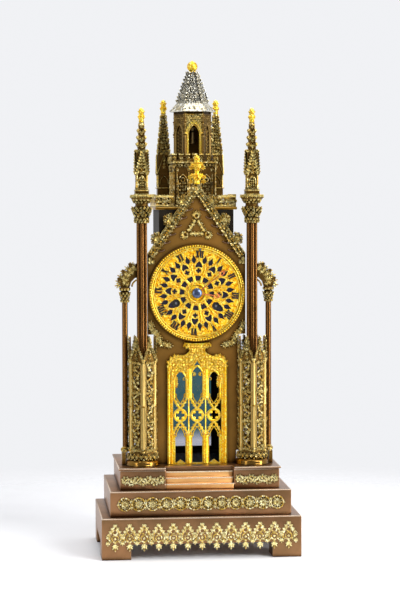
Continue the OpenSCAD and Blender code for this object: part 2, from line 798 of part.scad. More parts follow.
module pinnacles() color(ormolu) both_sides() translate([column_x, column_y, pinnacle_z]) {
    translate([-front_plinth_w / 2, -front_plinth_w / 2, 0])
        cube([front_plinth_w, front_plinth_w, front_plinth_h + joint]);
    translate([0, 0, front_plinth_h])
        pinnacle(pinnacle_w, front_shaft_h, front_spire_h, 3, pinnacle_w - 3.8, 5.6, 2.4);
}
front_finial_z = pinnacle_z + front_plinth_h + front_shaft_h + front_spire_h + 1.8;

// Gilt bud that tops a pinnacle
module bud() {
    cylinder(r1 = 3.6, r2 = 2.2, h = 4);
    translate([0, 0, 4]) cylinder(r = 2.2, h = 6);
    translate([0, 0, 9]) sphere(4);
    translate([0, 0, 11]) cylinder(r1 = 3.6, r2 = 0.6, h = 7.5);
}
rear_block_h = 24.5;
rear_shaft_h = 43;
rear_spire_h = 51;
rear_finial_z = ledge_z + rear_block_h + rear_shaft_h + rear_spire_h + 1.8;
module pinnacle_finials() color(gilt) both_sides() {
    translate([column_x, column_y, front_finial_z]) bud();
    translate([rear_x, rear_y, rear_finial_z]) bud();
}

// Rear pinnacles on the nave's roof, on blocks with a ledge
module rear_pinnacles() color(ormolu) both_sides() translate([rear_x, rear_y, ledge_z]) {
    half = rear_pinnacle_w / 2 + 0.6;
    translate([-half, -half, 0]) cube([2 * half, 2 * half, rear_block_h]);
    translate([0, 0, rear_block_h - joint])
        pinnacle(rear_pinnacle_w, rear_shaft_h + joint, rear_spire_h, 5, rear_pinnacle_w - 2, 4.4, 1.9);
}

// Slender outer columns
module outer_columns() color(column_brown) both_sides()
    translate([outer_x, outer_y, floor_z + outer_base_h]) cylinder(r = outer_r, h = outer_h - outer_base_h);

// Blocks under the outer columns, scribed to the moulded bases
module outer_bases() color(ormolu) both_sides() difference() {
    translate([outer_x, outer_y, floor_z]) {
        translate([-4.8, -4.8, 0]) cube([9.6, 9.6, outer_base_h - 4]);
        translate([0, 0, outer_base_h - 4 - joint]) cylinder(r = 4.8, h = 4 + joint);
    }
    translate([column_x, column_y, floor_z - over]) cylinder(r = base_r + 0.5, h = base_ring_h + over + air);
    translate([column_x, column_y, floor_z]) cylinder(r = 20, h = outer_base_h + over);
}

// Ringed capitals of the outer columns
module outer_capitals() color(ormolu) both_sides() translate([outer_x, outer_y, outer_capital_z]) {
    cylinder(r = outer_r + 0.8, h = outer_capital_h);
    translate([0, 0, 1]) cylinder(r = outer_r + 1.8, h = 3);
    translate([0, 0, 6]) cylinder(r1 = outer_r + 1, r2 = outer_r + 2.4, h = 6);
    translate([0, 0, 14]) cylinder(r = outer_r + 3, h = outer_capital_h - 14);
}

// Crocketed arms from the outer capitals to the main columns
arm_t = 5;
module flying_buttresses() color(ormolu) both_sides() difference() {
    translate([outer_x, 0, outer_capital_z + outer_capital_h]) upright(outer_y - arm_t / 2, arm_t) {
        difference() {
            polygon([[-6, 0], [5.5, 0], [6.5, 8], [3, 15], [-3, 21], [-9, 26], [-16, 31], [-22, 33], [-22, 12],
                [-13, 12], [-8, 7]]);
            translate([-19, 0]) circle(10);
        }
        for (p = [[6, 9], [0.5, 19], [-8, 27]]) translate(p) {
            circle(2.8);
            translate([1.8, 2]) circle(1.7);
        }
    }
    translate([column_x, column_y, 0]) cylinder(r = column_r + 0.2, h = 2 * apex_z);
}

// Nave: side walls, back wall with the door's opening, roof, and the hinges' fixed knuckles
module nave_walls() color(bronze) {
    difference() {
        block([-nave_hw, wall_back, floor_z], [nave_hw, nave_y, ledge_z - ledge_t]);
        block([-nave_hw + nave_t, wall_back - over, floor_z - over], [nave_hw - nave_t, nave_y - nave_t, ledge_z]);
        block([-opening_hw, nave_y - 2 * nave_t, floor_z - over], [opening_hw, nave_y + over, floor_z + opening_h]);
    }
    // Front wall above the gable's flanks
    upright(wall_back, nave_t) difference() {
        translate([-nave_hw, gable_z]) square([2 * nave_hw, ledge_z - ledge_t - gable_z + joint]);
        polygon([[-gable_hw, gable_z - 8], [0, apex_z - 8], [gable_hw, gable_z - 8]]);
    }
    block([-nave_hw - ledge_lip, wall_back, ledge_z - ledge_t], [nave_hw + ledge_lip, nave_y + 2, ledge_z]);
    for (h = hinge_heights, s = [-1, 1]) translate([hinge_x, hinge_y, door_z + h + s * (knuckle_h + air)]) {
        cylinder(r = hinge_r, h = knuckle_h, center = true);
        translate([-hinge_r, -hinge_y + nave_y - joint, -knuckle_h / 2])
            cube([2 * hinge_r, hinge_y - nave_y + joint, knuckle_h]);
    }
    for (h = hinge_heights) translate([hinge_x, hinge_y, door_z + h])
        cylinder(r = hinge_pin_r, h = 3 * knuckle_h, center = true);
}

// Openwork parapet on the ledge, open in front between the gable's flanks
parapet_t = 2.4;
module parapet_run(l) {
    n = max(1, floor((l - 4) / 9.6));
    difference() {
        translate([-l / 2, 0]) square([l, parapet_h]);
        for (i = [0 : n - 1]) translate([(i - (n - 1) / 2) * 9.6, parapet_h / 2 - 0.4]) foil(3.9, 4);
        for (i = [0 : n]) translate([(i - n / 2) * 9.6, parapet_h]) circle(1.8);
    }
}
module parapet() color(ormolu) {
    hw = nave_hw + ledge_lip;
    front_l = hw - 28;
    side_l = nave_y + 2 - wall_back - 3;
    translate([0, 0, ledge_z]) {
        both_sides() translate([hw - front_l / 2, 0, 0]) upright(wall_back + 3, parapet_t) parapet_run(front_l);
        both_sides() translate([hw, wall_back + 3 + side_l / 2, 0]) rotate(90) upright(0, parapet_t)
            parapet_run(side_l);
        difference() {
            upright(nave_y + 2 - parapet_t, parapet_t) parapet_run(2 * hw);
            both_sides() translate([rear_x, rear_y, 0]) cube([rear_pinnacle_w + 1.8, rear_pinnacle_w + 1.8, 60], center = true);
        }
    }
}

// Square tower stage with blind arches, and its crenellated platform
module tower_stage() color(ormolu) translate([0, tower_y, ledge_z]) {
    body_h = tower_h - platform_t;
    wall = 3;
    difference() {
        translate([-tower_w / 2, -tower_w / 2, 0]) cube([tower_w, tower_w, body_h]);
        translate([-tower_w / 2 + wall, -tower_w / 2 + wall, -over])
            cube([tower_w - 2 * wall, tower_w - 2 * wall, body_h + 2 * over]);
        for (a = [0 : 90 : 270]) rotate(a) upright(-tower_w / 2 - over, over + 1) {
            for (x = [-15, 0, 15]) translate([x, 6]) pointed_arch(11, 24);
            for (x = [-7.5, 7.5]) translate([x, body_h - 8]) foil(3, 4);
        }
    }
    translate([-platform_hw, -platform_hw, body_h]) cube([2 * platform_hw, 2 * platform_hw, platform_t]);
    for (a = [0 : 90 : 270]) rotate(a) upright(-platform_hw, 2.2) translate([0, tower_h - joint])
        for (i = [-3 : 3]) translate([i * (platform_hw - 3) / 3 - 2.4, 0]) square([4.8, crenel_h]);
}

// Six-sided belfry, open in front, with a blind arch in each other face and the bell's bracket under its crown
arch_open_w = 14.6;
module belfry() color(ormolu) translate([0, tower_y, belfry_z]) {
    difference() {
        union() {
            cylinder(r = belfry_r, h = belfry_h, $fn = 6);
            for (a = [0 : 60 : 300]) rotate(a) {
                translate([belfry_r - 0.6, 0, 0]) cylinder(r = 1.8, h = belfry_h);
                upright(-belfry_r * cos(30) - 1, 2) arch_band(arch_open_w + 3.2, 33, 1.7);
            }
            translate([0, 0, belfry_h - 9]) cylinder(r = belfry_r + 1.4, h = 2, $fn = 6);
        }
        translate([0, 0, -over]) cylinder(r = belfry_r - belfry_wall, h = belfry_h - 3 + over, $fn = 6);
        upright(-belfry_r - over, belfry_r) translate([0, -over]) pointed_arch(arch_open_w, 33 + over);
        for (a = [60 : 60 : 300]) rotate(a) upright(-belfry_r - over, belfry_r * (1 - cos(30)) + over + 0.8)
            translate([0, 2]) pointed_arch(arch_open_w, 31);
    }
    for (x = [-1, 1]) translate([x * 4.6 - 0.8, -2, bell_axis_z - belfry_z - 2]) difference() {
        cube([1.6, 4, belfry_z + belfry_h - bell_axis_z + 2 - 3 + joint]);
        translate([-over, 2, 2]) rotate([0, 90, 0]) cylinder(r = 0.8 + run, h = 4);
    }
}

// Bell of the belfry with its pin
module belfry_bell() color(brass) translate([0, tower_y, bell_axis_z]) {
    top = -4;
    rotate_extrude() difference() {
        polygon([[0, top], [2.6, top], [3.8, top - 2], [4.2, top - bell_h * 0.6], [bell_r, top - bell_h],
            [bell_r - 1, top - bell_h], [3.3, top - bell_h * 0.6], [3, top - 3], [0, top - 2]]);
        translate([-3, top - 30]) square([3, 40]);
    }
    translate([-1.2, -1.2, top - 0.6]) cube([2.4, 2.4, -top + 0.6]);
    rotate([0, 90, 0]) cylinder(r = 0.8, h = 11.6, center = true);
}

// Six-sided roof: flared skirt and steep spire, on a plate that fits the belfry
module six_taper(r, v, h) intersection_for(a = [0, 60, 120]) rotate(a)
    upright(-2 * r, 4 * r) polygon([[-r, 0], [r, 0], [v, h], [-v, h]]);
module tower_roof() color(silver_gilt) translate([0, tower_y, eaves_z]) {
    apothem = roof_r * cos(30);
    skirt_h = 11.5;
    rotate(30) {
        six_taper(apothem, apothem, 1.6);
        translate([0, 0, 1.2]) six_taper(apothem - 0.4, 17, skirt_h - 1.2);
        translate([0, 0, skirt_h - joint]) six_taper(17.2, 4.6, roof_h - skirt_h + joint);
    }
    for (i = [0 : 5], a = [0 : 60 : 300]) {
        f = (i + 0.5) / 6;
        rotate(a) translate([(17.2 * (1 - f) + 4.6 * f) / cos(30), 0, skirt_h + f * (roof_h - skirt_h)])
            rotate([0, 20, 0]) cube([3.4, 1.8, 2.8], center = true);
    }
}

// Gilt ball on the roof's point
module roof_finial() color(gilt) translate([0, tower_y, eaves_z + roof_h]) {
    cylinder(r = 3.4, h = 2);
    translate([0, 0, ball_r]) sphere(ball_r);
    translate([0, 0, 2 * ball_r - 1]) cylinder(r1 = 2.4, r2 = 0.8, h = 1.6);
}

// Rear door: frame with its hinge knuckles
module rear_door() color(bronze) difference() {
    union() {
        difference() {
            block([-door_hw, nave_y + 0.1, door_z], [door_hw, nave_y + door_t, door_z + door_h]);
            block([-door_hw + door_border, nave_y - over, door_z + door_border],
                  [door_hw - door_border, nave_y + door_t + over, door_z + door_h - door_border]);
        }
        for (h = hinge_heights) translate([hinge_x, hinge_y, door_z + h]) {
            cylinder(r = hinge_r, h = knuckle_h, center = true);
            translate([0, -1.4, -knuckle_h / 2]) cube([2.4, 1.9, knuckle_h]);
        }
    }
    translate([hinge_x, hinge_y, 0]) cylinder(r = hinge_pin_r + run, h = 2 * apex_z);
    translate([latch_x, 0, latch_z]) bar_y(1.2 + run, nave_y - over, nave_y + door_t + over);
}

module rear_door_glass() color("#a8c8c0") {
    block([-door_hw + door_border, nave_y + 0.5, door_z + door_border],
          [door_hw - door_border, nave_y + 2, door_z + door_h - door_border]);
}

// Latch of the door: knob, spindle and tongue, upright when free
module door_latch() color(brass) translate([latch_x, 0, latch_z]) {
    bar_y(1.2, nave_y - nave_t - air - joint, nave_y + door_t + joint);
    bar_y(2.2, nave_y + door_t + run, nave_y + door_t + 2);
    translate([-1.3, nave_y - nave_t - air - latch_t, -1.3]) cube([2.6, latch_t, latch_l]);
}

// Gear wheel with n straight-sided teeth of module m, its front at y, turned so that a tooth or a
// gap meets the line at angle a from X
module gear(n, m, y, t, bore, a = 0, gap = false, solid_web = false) {
    root = m * n / 2 - m * 1.15;
    tip = m * n / 2 + m * 0.8;
    pitch = 360 / n;
    shift = gap ? pitch / 2 : 0;
    upright(y, t) rotate(a + shift) difference() {
        polygon([for (i = [0 : n - 1], k = [0 : 3])
            let (b = i * pitch + [-0.25, -0.1, 0.1, 0.25][k] * pitch, r = (k == 0 || k == 3) ? root : tip)
            [r * cos(b), r * sin(b)]]);
        circle(bore);
        if (m * n / 2 > 6 && !solid_web) for (q = [0 : 60 : 300]) rotate(q) translate([m * n * 0.3, 0])
            circle(m * n * 0.115);
    }
}

// Direction from one arbor to another
function heading(p, q) = atan2(q[1] - p[1], q[0] - p[0]);

// Movement frame: two round plates, their pillars, feet to the wall, and the bell's stand
arbors = [going_pos, strike_pos, second_pos, pin_wheel_pos, third_pos, escape_pos, [0, 0]];
module pivot_holes() {
    for (p = [going_pos, strike_pos]) translate(p) circle(winding_arbor_r + run);
    for (p = [second_pos, pin_wheel_pos, third_pos, escape_pos, hammer_pos]) translate(p) circle(arbor_r + run);
    circle(centre_arbor_r + run);
}
module movement_frame() color(brass) in_dial() {
    upright(front_plate_y, mplate_t) difference() {
        circle(mplate_r);
        pivot_holes();
        translate(pallet_pos) circle(arbor_r + run);
    }
    upright(back_plate_y, mplate_t) difference() {
        circle(mplate_r);
        pivot_holes();
        translate(pallet_pos) circle(3);
    }
    for (a = [28, 75, 115, 270]) rotate([0, -a, 0]) translate([foot_post_at, 0, 0])
        bar_y(post_r, inner_y - joint, back_plate_y + joint);
    for (a = [45, 135, 225, 315]) rotate([0, -a, 0]) translate([foot_post_at, 0, 0])
        bar_y(post_r, wall_back, front_plate_y + joint);
    translate(to3(minute_wheel_pos)) bar_y(arbor_r, front_plate_y - 6, front_plate_y + joint);
    translate(to3(stand_pos)) bar_y(2.4, back_plate_y + 1, gong_y + gong_h + 3);
    upright(gong_y + gong_h + 0.6, 2.4) stroke(stand_pos, gong_pos, 5);
    translate(to3(gong_pos)) bar_y(2.5, gong_y + gong_h + 0.6, gong_y + gong_h + 3);
}

// Spring barrel with its great wheel, free on the winding arbor
module barrel(a) {
    difference() {
        union() {
            bar_y(barrel_r, inner_y + 2.5, great_y + joint);
            gear(great_n, great_m, great_y, 2, 1, a, solid_web = true);
        }
        bar_y(winding_arbor_r + run, inner_y, back_plate_y);
    }
}
module going_barrel() color(brass) in_dial(going_pos) barrel(heading(going_pos, second_pos));
module strike_barrel() color(brass) in_dial(strike_pos) barrel(heading(strike_pos, pin_wheel_pos));

// Winding arbor with its square for the key
module winding_arbor() {
    bar_y(winding_arbor_r, wall_y - 0.5, rear_y_plate);
    upright(dial_front + 0.4, wall_y - dial_front) square(2.8, center = true);
}
module going_arbor() color(steel) in_dial(going_pos) winding_arbor();
module strike_arbor() color(steel) in_dial(strike_pos) winding_arbor();

// Wheel and pinion on one arbor between the plates
module train_arbor() bar_y(arbor_r, front_plate_y + 0.2, rear_y_plate - 0.2);
module second_wheel() color(brass) in_dial(second_pos) {
    train_arbor();
    gear(second_pinion_n, great_m, great_y - 0.5, 3, arbor_r - 0.2, heading(second_pos, going_pos), true);
    gear(second_n, train_m, second_y, wheel_t, arbor_r - 0.2, heading(second_pos, [0, 0]));
}

// Wheel of the strike train whose pins lift the hammer
module pin_wheel() color(brass) in_dial(pin_wheel_pos) {
    train_arbor();
    gear(second_pinion_n, great_m, great_y - 0.5, 3, arbor_r - 0.2, heading(pin_wheel_pos, strike_pos), true);
    upright(second_y, wheel_t) circle(8.5);
    for (a = [0 : 45 : 315]) rotate([0, a, 0]) translate([7, 0, 0]) bar_y(0.6, second_y - 1.5, second_y + joint);
}

// Centre arbor with its wheel, its pinion and the cannon pinion
minute_hand_y = dial_front - 3.7;
module centre_wheel() color(brass) in_dial() {
    bar_y(centre_arbor_r, minute_hand_y - 0.4, rear_y_plate - 0.2);
    gear(centre_pinion_n, train_m, second_y - 0.4, 2, centre_arbor_r - 0.2, heading([0, 0], second_pos), true);
    gear(centre_n, centre_m, centre_y, wheel_t, centre_arbor_r - 0.2, heading([0, 0], third_pos));
    gear(cannon_n, motion_m, front_plate_y - 2.5, 1.7, centre_arbor_r - 0.2, heading([0, 0], minute_wheel_pos), true);
}

// Minute wheel and its pinion, free on a stud of the front plate
module minute_wheel() color(brass) in_dial(minute_wheel_pos) difference() {
    union() {
        gear(minute_n, motion_m, front_plate_y - 2.3, 1.3, 0.8, heading(minute_wheel_pos, [0, 0]));
        gear(minute_pinion_n, hour_m, front_plate_y - 4.8, 2.5 + joint, 0.8,
            heading(minute_wheel_pos, [0, 0]), true);
    }
    bar_y(arbor_r + run, front_plate_y - 6, front_plate_y);
}

// Hour wheel and its pipe, free on the centre arbor
hour_hand_y = dial_front - 2.2;
module hour_wheel() color(brass) in_dial() difference() {
    union() {
        gear(hour_n, hour_m, front_plate_y - 4.5, 1.2, 1, heading([0, 0], minute_wheel_pos));
        bar_y(pipe_r, hour_hand_y, front_plate_y - 3.3);
    }
    bar_y(centre_arbor_r + run, hour_hand_y - over, front_plate_y);
}

module third_wheel() color(brass) in_dial(third_pos) {
    train_arbor();
    gear(third_pinion_n, centre_m, centre_y - 0.4, 2, arbor_r - 0.2, heading(third_pos, [0, 0]), true);
    gear(third_n, third_m, third_y, 1, arbor_r - 0.2, heading(third_pos, escape_pos));
}

// Escape wheel with pointed teeth
module escape_wheel() color(brass) in_dial(escape_pos) {
    train_arbor();
    gear(escape_pinion_n, third_m, third_y - 0.4, 1.8, arbor_r - 0.3, heading(escape_pos, third_pos), true);
    upright(escape_y, 1) difference() {
        polygon([for (i = [0 : escape_n - 1], k = [0 : 1])
            let (b = (i + k * 0.3) * 360 / escape_n, r = k == 0 ? 6 : 7.5) [r * cos(b), r * sin(b)]]);
        for (q = [0 : 72 : 288]) rotate(q) translate([3.2, 0]) circle(1.3);
    }
}

// Pallets on their arbor, with the crutch behind the back plate
module pallets() color(steel) in_dial(pallet_pos) {
    bar_y(arbor_r, front_plate_y + 0.2, rear_y_plate + 4.6);
    upright(escape_y, 1) {
        circle(2.4);
        both_sides() polygon([[0, 2.4], [5, 1], [8.4, -5], [7.6, -6.4], [6.8, -5.2], [4, -1.4], [0, -1.4]]);
    }
    rotate([0, -dial_turn, 0]) {
        upright(rear_y_plate + 3.4, 1) {
            circle(2.2);
            stroke([0, 0], [0, -22], 1.8);
            stroke([-2.4, -21.2], [2.4, -21.2], 1.6);
        }
        for (x = [-1, 1]) translate([x * 1.7, 0, -21.2]) bar_y(0.6, rear_y_plate + 3.8, rod_y + 1.6);
    }
}

// Pendulum: spring strip, rod, bob and rating nut
module pendulum() color(brass) in_dial(pallet_pos) rotate([0, -dial_turn, 0]) {
    upright(rod_y - 0.15, 0.3) translate([-1.6, -4]) square([3.2, 8.5]);
    translate([0, rod_y, -pendulum_l - 2]) cylinder(r = 0.8, h = pendulum_l - 1);
    translate([0, 0, -pendulum_l]) {
        bar_y(bob_r, rod_y - 2.4, rod_y + 2.4);
        bar_y(bob_r * 0.6, rod_y - 3.2, rod_y + 3.2);
    }
}

// Cock on the back plate that carries the pallets' pivot, the spring's block and the regulator
cock_t = 2.5;
module suspension_cock() color(brass) in_dial() difference() {
    union() {
        upright(rear_y_plate, cock_t) {
            translate([-6, 24]) square([12, 31]);
            translate(regulator_pos) circle(6);
        }
        block([-4, rear_y_plate + cock_t - joint, 35], [4, rod_y + 2, 40]);
    }
    translate(to3(pallet_pos)) bar_y(arbor_r + run, rear_y_plate - over, rear_y_plate + cock_t + over);
    translate(to3(regulator_pos)) bar_y(regulator_r + run, rear_y_plate - over, rear_y_plate + cock_t + over);
}

// Arbor that raises the spring's block, with its square in the rim above the twelve
module regulator_arbor() color(steel) in_dial(regulator_pos) {
    bar_y(regulator_r, wall_y - 5, rear_y_plate + cock_t + 0.8);
    bar_y(3, rear_y_plate + cock_t + 0.2, rear_y_plate + cock_t + 1.8);
}

// Hands of gilt metal, given for a dial that reads a few minutes past three
minute_at = 47;
hour_at = 94;
module hand(l, w, y, bore) upright(y, 0.6) difference() {
    union() {
        circle(3.2);
        polygon([[-w / 2, 0], [w / 2, 0], [w / 2 + 0.3, l * 0.55], [0.25, l], [-0.25, l], [-w / 2 - 0.3, l * 0.55]]);
        translate([0, l * 0.66]) foil(w + 0.5, 4);
    }
    circle(bore);
}
minute_hand_l = 54.5;
hour_hand_l = 31;
boss_r = 6.2;
boss_h = 2.8;
boss_curve = (boss_r * boss_r + boss_h * boss_h) / (2 * boss_h);
module minute_hand() color(navy) in_dial() {
    rotate([0, minute_at, 0]) hand(minute_hand_l, 1, minute_hand_y, centre_arbor_r);
    difference() {
        intersection() {
            translate([0, minute_hand_y + 0.2 - boss_h + boss_curve, 0]) sphere(boss_curve);
            bar_y(boss_r, minute_hand_y - 2 * boss_h, minute_hand_y + 0.2);
        }
        bar_y(centre_arbor_r, minute_hand_y - 0.4, minute_hand_y + 4);
    }
}
module hour_hand() color(gilt) in_dial() rotate([0, hour_at, 0]) hand(hour_hand_l, 1.4, hour_hand_y - 0.6, centre_arbor_r + run);

// Striking bell: a shallow dome open to the front, held at its crown by the stand
module strike_bell() color(brass) in_dial(gong_pos) {
    dome_r = (gong_r * gong_r + gong_h * gong_h) / (2 * gong_h);
    difference() {
        intersection() {
            translate([0, gong_y + gong_h - dome_r, 0]) sphere(dome_r, $fn = 96);
            bar_y(gong_r + over, gong_y, gong_y + gong_h + over);
        }
        translate([0, gong_y + gong_h - dome_r, 0]) sphere(dome_r - 1.4, $fn = 96);
    }
    bar_y(1.6, gong_y + gong_h - 3.4, gong_y + gong_h + 0.6);
}

// Hammer on its arbor, with a tail to the pin wheel and a head beside the bell
hammer_head = [7.8, 6.3];
module hammer() color(steel) in_dial(hammer_pos) {
    bar_y(arbor_r, front_plate_y + 0.2, gong_y + 5);
    upright(second_y - 2, 1) difference() {
        stroke([0, 0], [5.6, -2.2], 1.8);
        circle(0.5);
    }
    upright(gong_y + 3, 2) {
        circle(2);
        stroke([0, 0], hammer_head, 1.8);
    }
    translate([hammer_head[0], 0, hammer_head[1]]) bar_y(3, gong_y - 0.4, gong_y + 5.6);
}

lower_plinth();
lambrequin_frieze();
middle_plinth();
roundel_frieze();
upper_plinth();
scroll_mounts();
terrace_slab();
steps();
facade_plate();
gable_cornice();
trefoil_mount();
corner_mounts();
gable_finial();
dial_bezel();
dial_plate();
dial_backing();
numerals();
portal_frame();
portal_tracery();
columns();
column_bases();
column_sleeves();
capitals();
pinnacles();
pinnacle_finials();
outer_columns();
outer_bases();
outer_capitals();
flying_buttresses();
nave_walls();
parapet();
tower_stage();
belfry();
tower_roof();
roof_finial();
rear_pinnacles();
belfry_bell();
rear_door();
rear_door_glass();
door_latch();
movement_frame();
going_barrel();
strike_barrel();
going_arbor();
strike_arbor();
second_wheel();
pin_wheel();
centre_wheel();
minute_wheel();
hour_wheel();
third_wheel();
escape_wheel();
pallets();
pendulum();
suspension_cock();
regulator_arbor();
minute_hand();
hour_hand();
strike_bell();
hammer();
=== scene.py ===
"""Looks of the cathedral clock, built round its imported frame.

Shapes are worked out in millimetres, in the clock's own frame: X to the viewer's right, Y to the back and Z up.
They become metres where a mesh is made.
"""

from __future__ import annotations

import logging
import math
from dataclasses import dataclass, field
from enum import Enum
from typing import Any, Callable, Iterable, Sequence

import bmesh
import bpy
import numpy as np
from mathutils import Matrix, Vector


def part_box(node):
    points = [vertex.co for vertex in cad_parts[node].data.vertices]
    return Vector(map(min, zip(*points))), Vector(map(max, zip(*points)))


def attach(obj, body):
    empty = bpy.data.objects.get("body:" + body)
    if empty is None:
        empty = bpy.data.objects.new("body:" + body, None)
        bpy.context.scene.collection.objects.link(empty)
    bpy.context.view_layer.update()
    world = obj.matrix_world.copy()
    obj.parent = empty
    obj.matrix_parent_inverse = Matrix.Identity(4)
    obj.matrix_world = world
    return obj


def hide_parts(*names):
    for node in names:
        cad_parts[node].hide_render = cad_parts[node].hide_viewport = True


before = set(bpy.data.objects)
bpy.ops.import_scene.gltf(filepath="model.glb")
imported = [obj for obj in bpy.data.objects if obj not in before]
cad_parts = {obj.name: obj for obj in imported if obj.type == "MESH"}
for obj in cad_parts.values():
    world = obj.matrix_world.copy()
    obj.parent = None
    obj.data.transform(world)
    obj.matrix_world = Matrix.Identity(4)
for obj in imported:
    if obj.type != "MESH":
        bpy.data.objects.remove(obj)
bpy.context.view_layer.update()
LOG = logging.getLogger("cathedral_clock")
Points = np.ndarray | Sequence[Sequence[float]]
Tree, Socket = bpy.types.NodeTree, bpy.types.NodeSocket

MM = 0.001
FLOOR_Z = 110.8
WALL_Y = -18.0
DIAL_Z = 328.2
DIAL_TURN = 4.4
COLUMN_X, COLUMN_Y = 69.9, -24.0
OUTER_X, OUTER_Y = 91.4, -20.0
GABLE_FOOT_Z, APEX_Z, GABLE_HW = 378.0, 469.0, 62.3
LEDGE_Z = 437.7
TOWER_Y = 32.0
PLATFORM_Z = 496.5
EAVES_Z = 558.5
CAPITAL_Z = FLOOR_Z + 306.2
OUTER_CAPITAL_Z = FLOOR_Z + 206.2
STEP_COUNT = 3
WINDING_R = 29.5
COS_30 = math.cos(math.radians(30))

# Angles of the faces round a four-sided or a six-sided body, and of the corners between them.
FOUR = (0, 90, 180, 270)
FOUR_BETWEEN = (45, 135, 225, 315)
SIX = (0, 60, 120, 180, 240, 300)
SIX_BETWEEN = (30, 90, 150, 210, 270, 330)


# Shapes


@dataclass(frozen=True)
class Form:
    """A surface in millimetres: points, and faces of four and of three corners."""

    points: np.ndarray
    quads: np.ndarray
    tris: np.ndarray

    def moved(self, x: float = 0.0, y: float = 0.0, z: float = 0.0) -> "Form":
        """The surface shifted by (x, y, z)."""
        return Form(self.points + np.array([x, y, z]), self.quads, self.tris)

    def turned(self, matrix: np.ndarray) -> "Form":
        """The surface with a 3 by 3 rotation or scaling applied to its points."""
        return Form(self.points @ np.asarray(matrix).T, self.quads, self.tris)

    def scaled(self, x: float, y: float, z: float) -> "Form":
        """The surface scaled along each axis."""
        return self.turned(np.diag([x, y, z]))

    def sized(self, size: float) -> "Form":
        """The surface scaled alike along all three axes."""
        return self.scaled(size, size, size)

    def mirrored(self) -> "Form":
        """The surface reflected in the middle plane, its faces turned back outwards."""
        return Form(self.points * np.array([-1.0, 1.0, 1.0]), self.quads[:, ::-1], self.tris[:, ::-1])

    def pressed(self, depth: float) -> "Form":
        """The surface squeezed so that it stands out towards -Y by no more than depth."""
        squeeze = min(1.0, depth / max(float(-self.points[:, 1].min()), 1e-6))
        points = self.points * np.array([1.0, squeeze, 1.0])
        return Form(np.where(self.points[:, 1:2] < 0, points, self.points), self.quads, self.tris)

    def both(self) -> "Form":
        """The surface and its reflection."""
        return joined([self, self.mirrored()])

    def repeated(self, matrices: np.ndarray, offsets: np.ndarray) -> "Form":
        """Copies of the surface.

        Args:
            matrices: one 3 by 3 matrix for each copy, shape (k, 3, 3).
            offsets: one shift for each copy, shape (k, 3).

        Returns:
            One surface that holds every copy.
        """
        count, size = len(offsets), len(self.points)
        points = np.einsum("kij,nj->kni", matrices, self.points) + offsets[:, None, :]
        steps = (np.arange(count) * size)[:, None, None]
        quads = (self.quads[None] + steps).reshape(-1, 4)
        tris = (self.tris[None] + steps).reshape(-1, 3)
        return Form(points.reshape(-1, 3), quads, tris)


def joined(forms: Iterable[Form]) -> Form:
    """Gathers surfaces into one, with their corner numbers shifted to suit."""
    parts = list(forms)
    starts = np.cumsum([0] + [len(p.points) for p in parts[:-1]])
    return Form(
        np.concatenate([p.points for p in parts]),
        np.concatenate([p.quads.reshape(-1, 4) + s for p, s in zip(parts, starts)]).astype(int),
        np.concatenate([p.tris.reshape(-1, 3) + s for p, s in zip(parts, starts)]).astype(int),
    )


def grid(points: np.ndarray, closed_path: bool = False, ends: bool = True) -> Form:
    """Skin over a grid of rings.

    Args:
        points: rings of points, shape (rows, columns, 3); each ring closes on itself.
        closed_path: whether the last ring joins the first.
        ends: whether an open skin gets a fan over each end.

    Returns:
        The closed or open skin. Ring k joins ring k + 1, column j joins column j + 1.
    """
    rows, cols = points.shape[:2]
    r = np.arange(rows if closed_path else rows - 1)[:, None]
    c = np.arange(cols)[None, :]
    r1, c1 = (r + 1) % rows, (c + 1) % cols
    quads = np.stack([r * cols + c, r * cols + c1, r1 * cols + c1, r1 * cols + c], axis=-1).reshape(-1, 4)
    flat = points.reshape(-1, 3)
    if closed_path or not ends:
        return Form(flat, quads, np.zeros((0, 3), int))
    first, last = len(flat), len(flat) + 1
    flat = np.concatenate([flat, points[0].mean(0)[None], points[-1].mean(0)[None]])
    k = np.arange(cols)
    k1 = (k + 1) % cols
    base = (rows - 1) * cols
    tris = np.concatenate([
        np.stack([np.full(cols, first), k1, k], axis=-1),
        np.stack([np.full(cols, last), base + k, base + k1], axis=-1),
    ])
    return Form(flat, quads, tris)


def rot(axis: str, degrees: float) -> np.ndarray:
    """Rotation matrix about one axis of the frame, by the right-hand rule."""
    return np.array(Matrix.Rotation(math.radians(degrees), 3, axis))


def rots(axis: str, degrees: Sequence[float]) -> np.ndarray:
    """One rotation matrix for each angle, shape (k, 3, 3)."""
    return np.array([rot(axis, float(d)) for d in degrees])


def revolved(profile: Points, a: np.ndarray) -> np.ndarray:
    """Rings of points (r cos a, r sin a, z): one for each (radius, height) pair, at the angles a in radians."""
    p = np.asarray(profile, float)
    r, z = p[:, 0:1], np.repeat(p[:, 1:2], len(a), axis=1)
    return np.stack([r * np.cos(a), r * np.sin(a), z], axis=-1)


def lathe(profile: Points, sides: int = 48) -> Form:
    """Solid of revolution about Z.

    Args:
        profile: (radius, height) pairs from the foot to the top; a radius of 0 closes an end.
        sides: number of facets round.

    Returns:
        The skin, closed by a fan at each end.
    """
    return grid(revolved(profile, np.linspace(0, 2 * np.pi, sides, endpoint=False)))


def lathed_ring(outline: Points, sides: int) -> Form:
    """Ring about Z whose section is a closed outline of (radius, height) pairs."""
    a = np.linspace(0, 2 * np.pi, sides, endpoint=False)
    return grid(revolved(outline, a).swapaxes(0, 1), closed_path=True)


def turning(knots: Points, sides: int, per_span: int = 6) -> Form:
    """Solid of revolution whose outline is the curve through (radius, height) knots."""
    return lathe(smooth_profile(knots, per_span), sides)


def about_y(form: Form) -> Form:
    """Turns a form that stands along Z so that its top faces the front."""
    return form.turned(rot("X", 90))


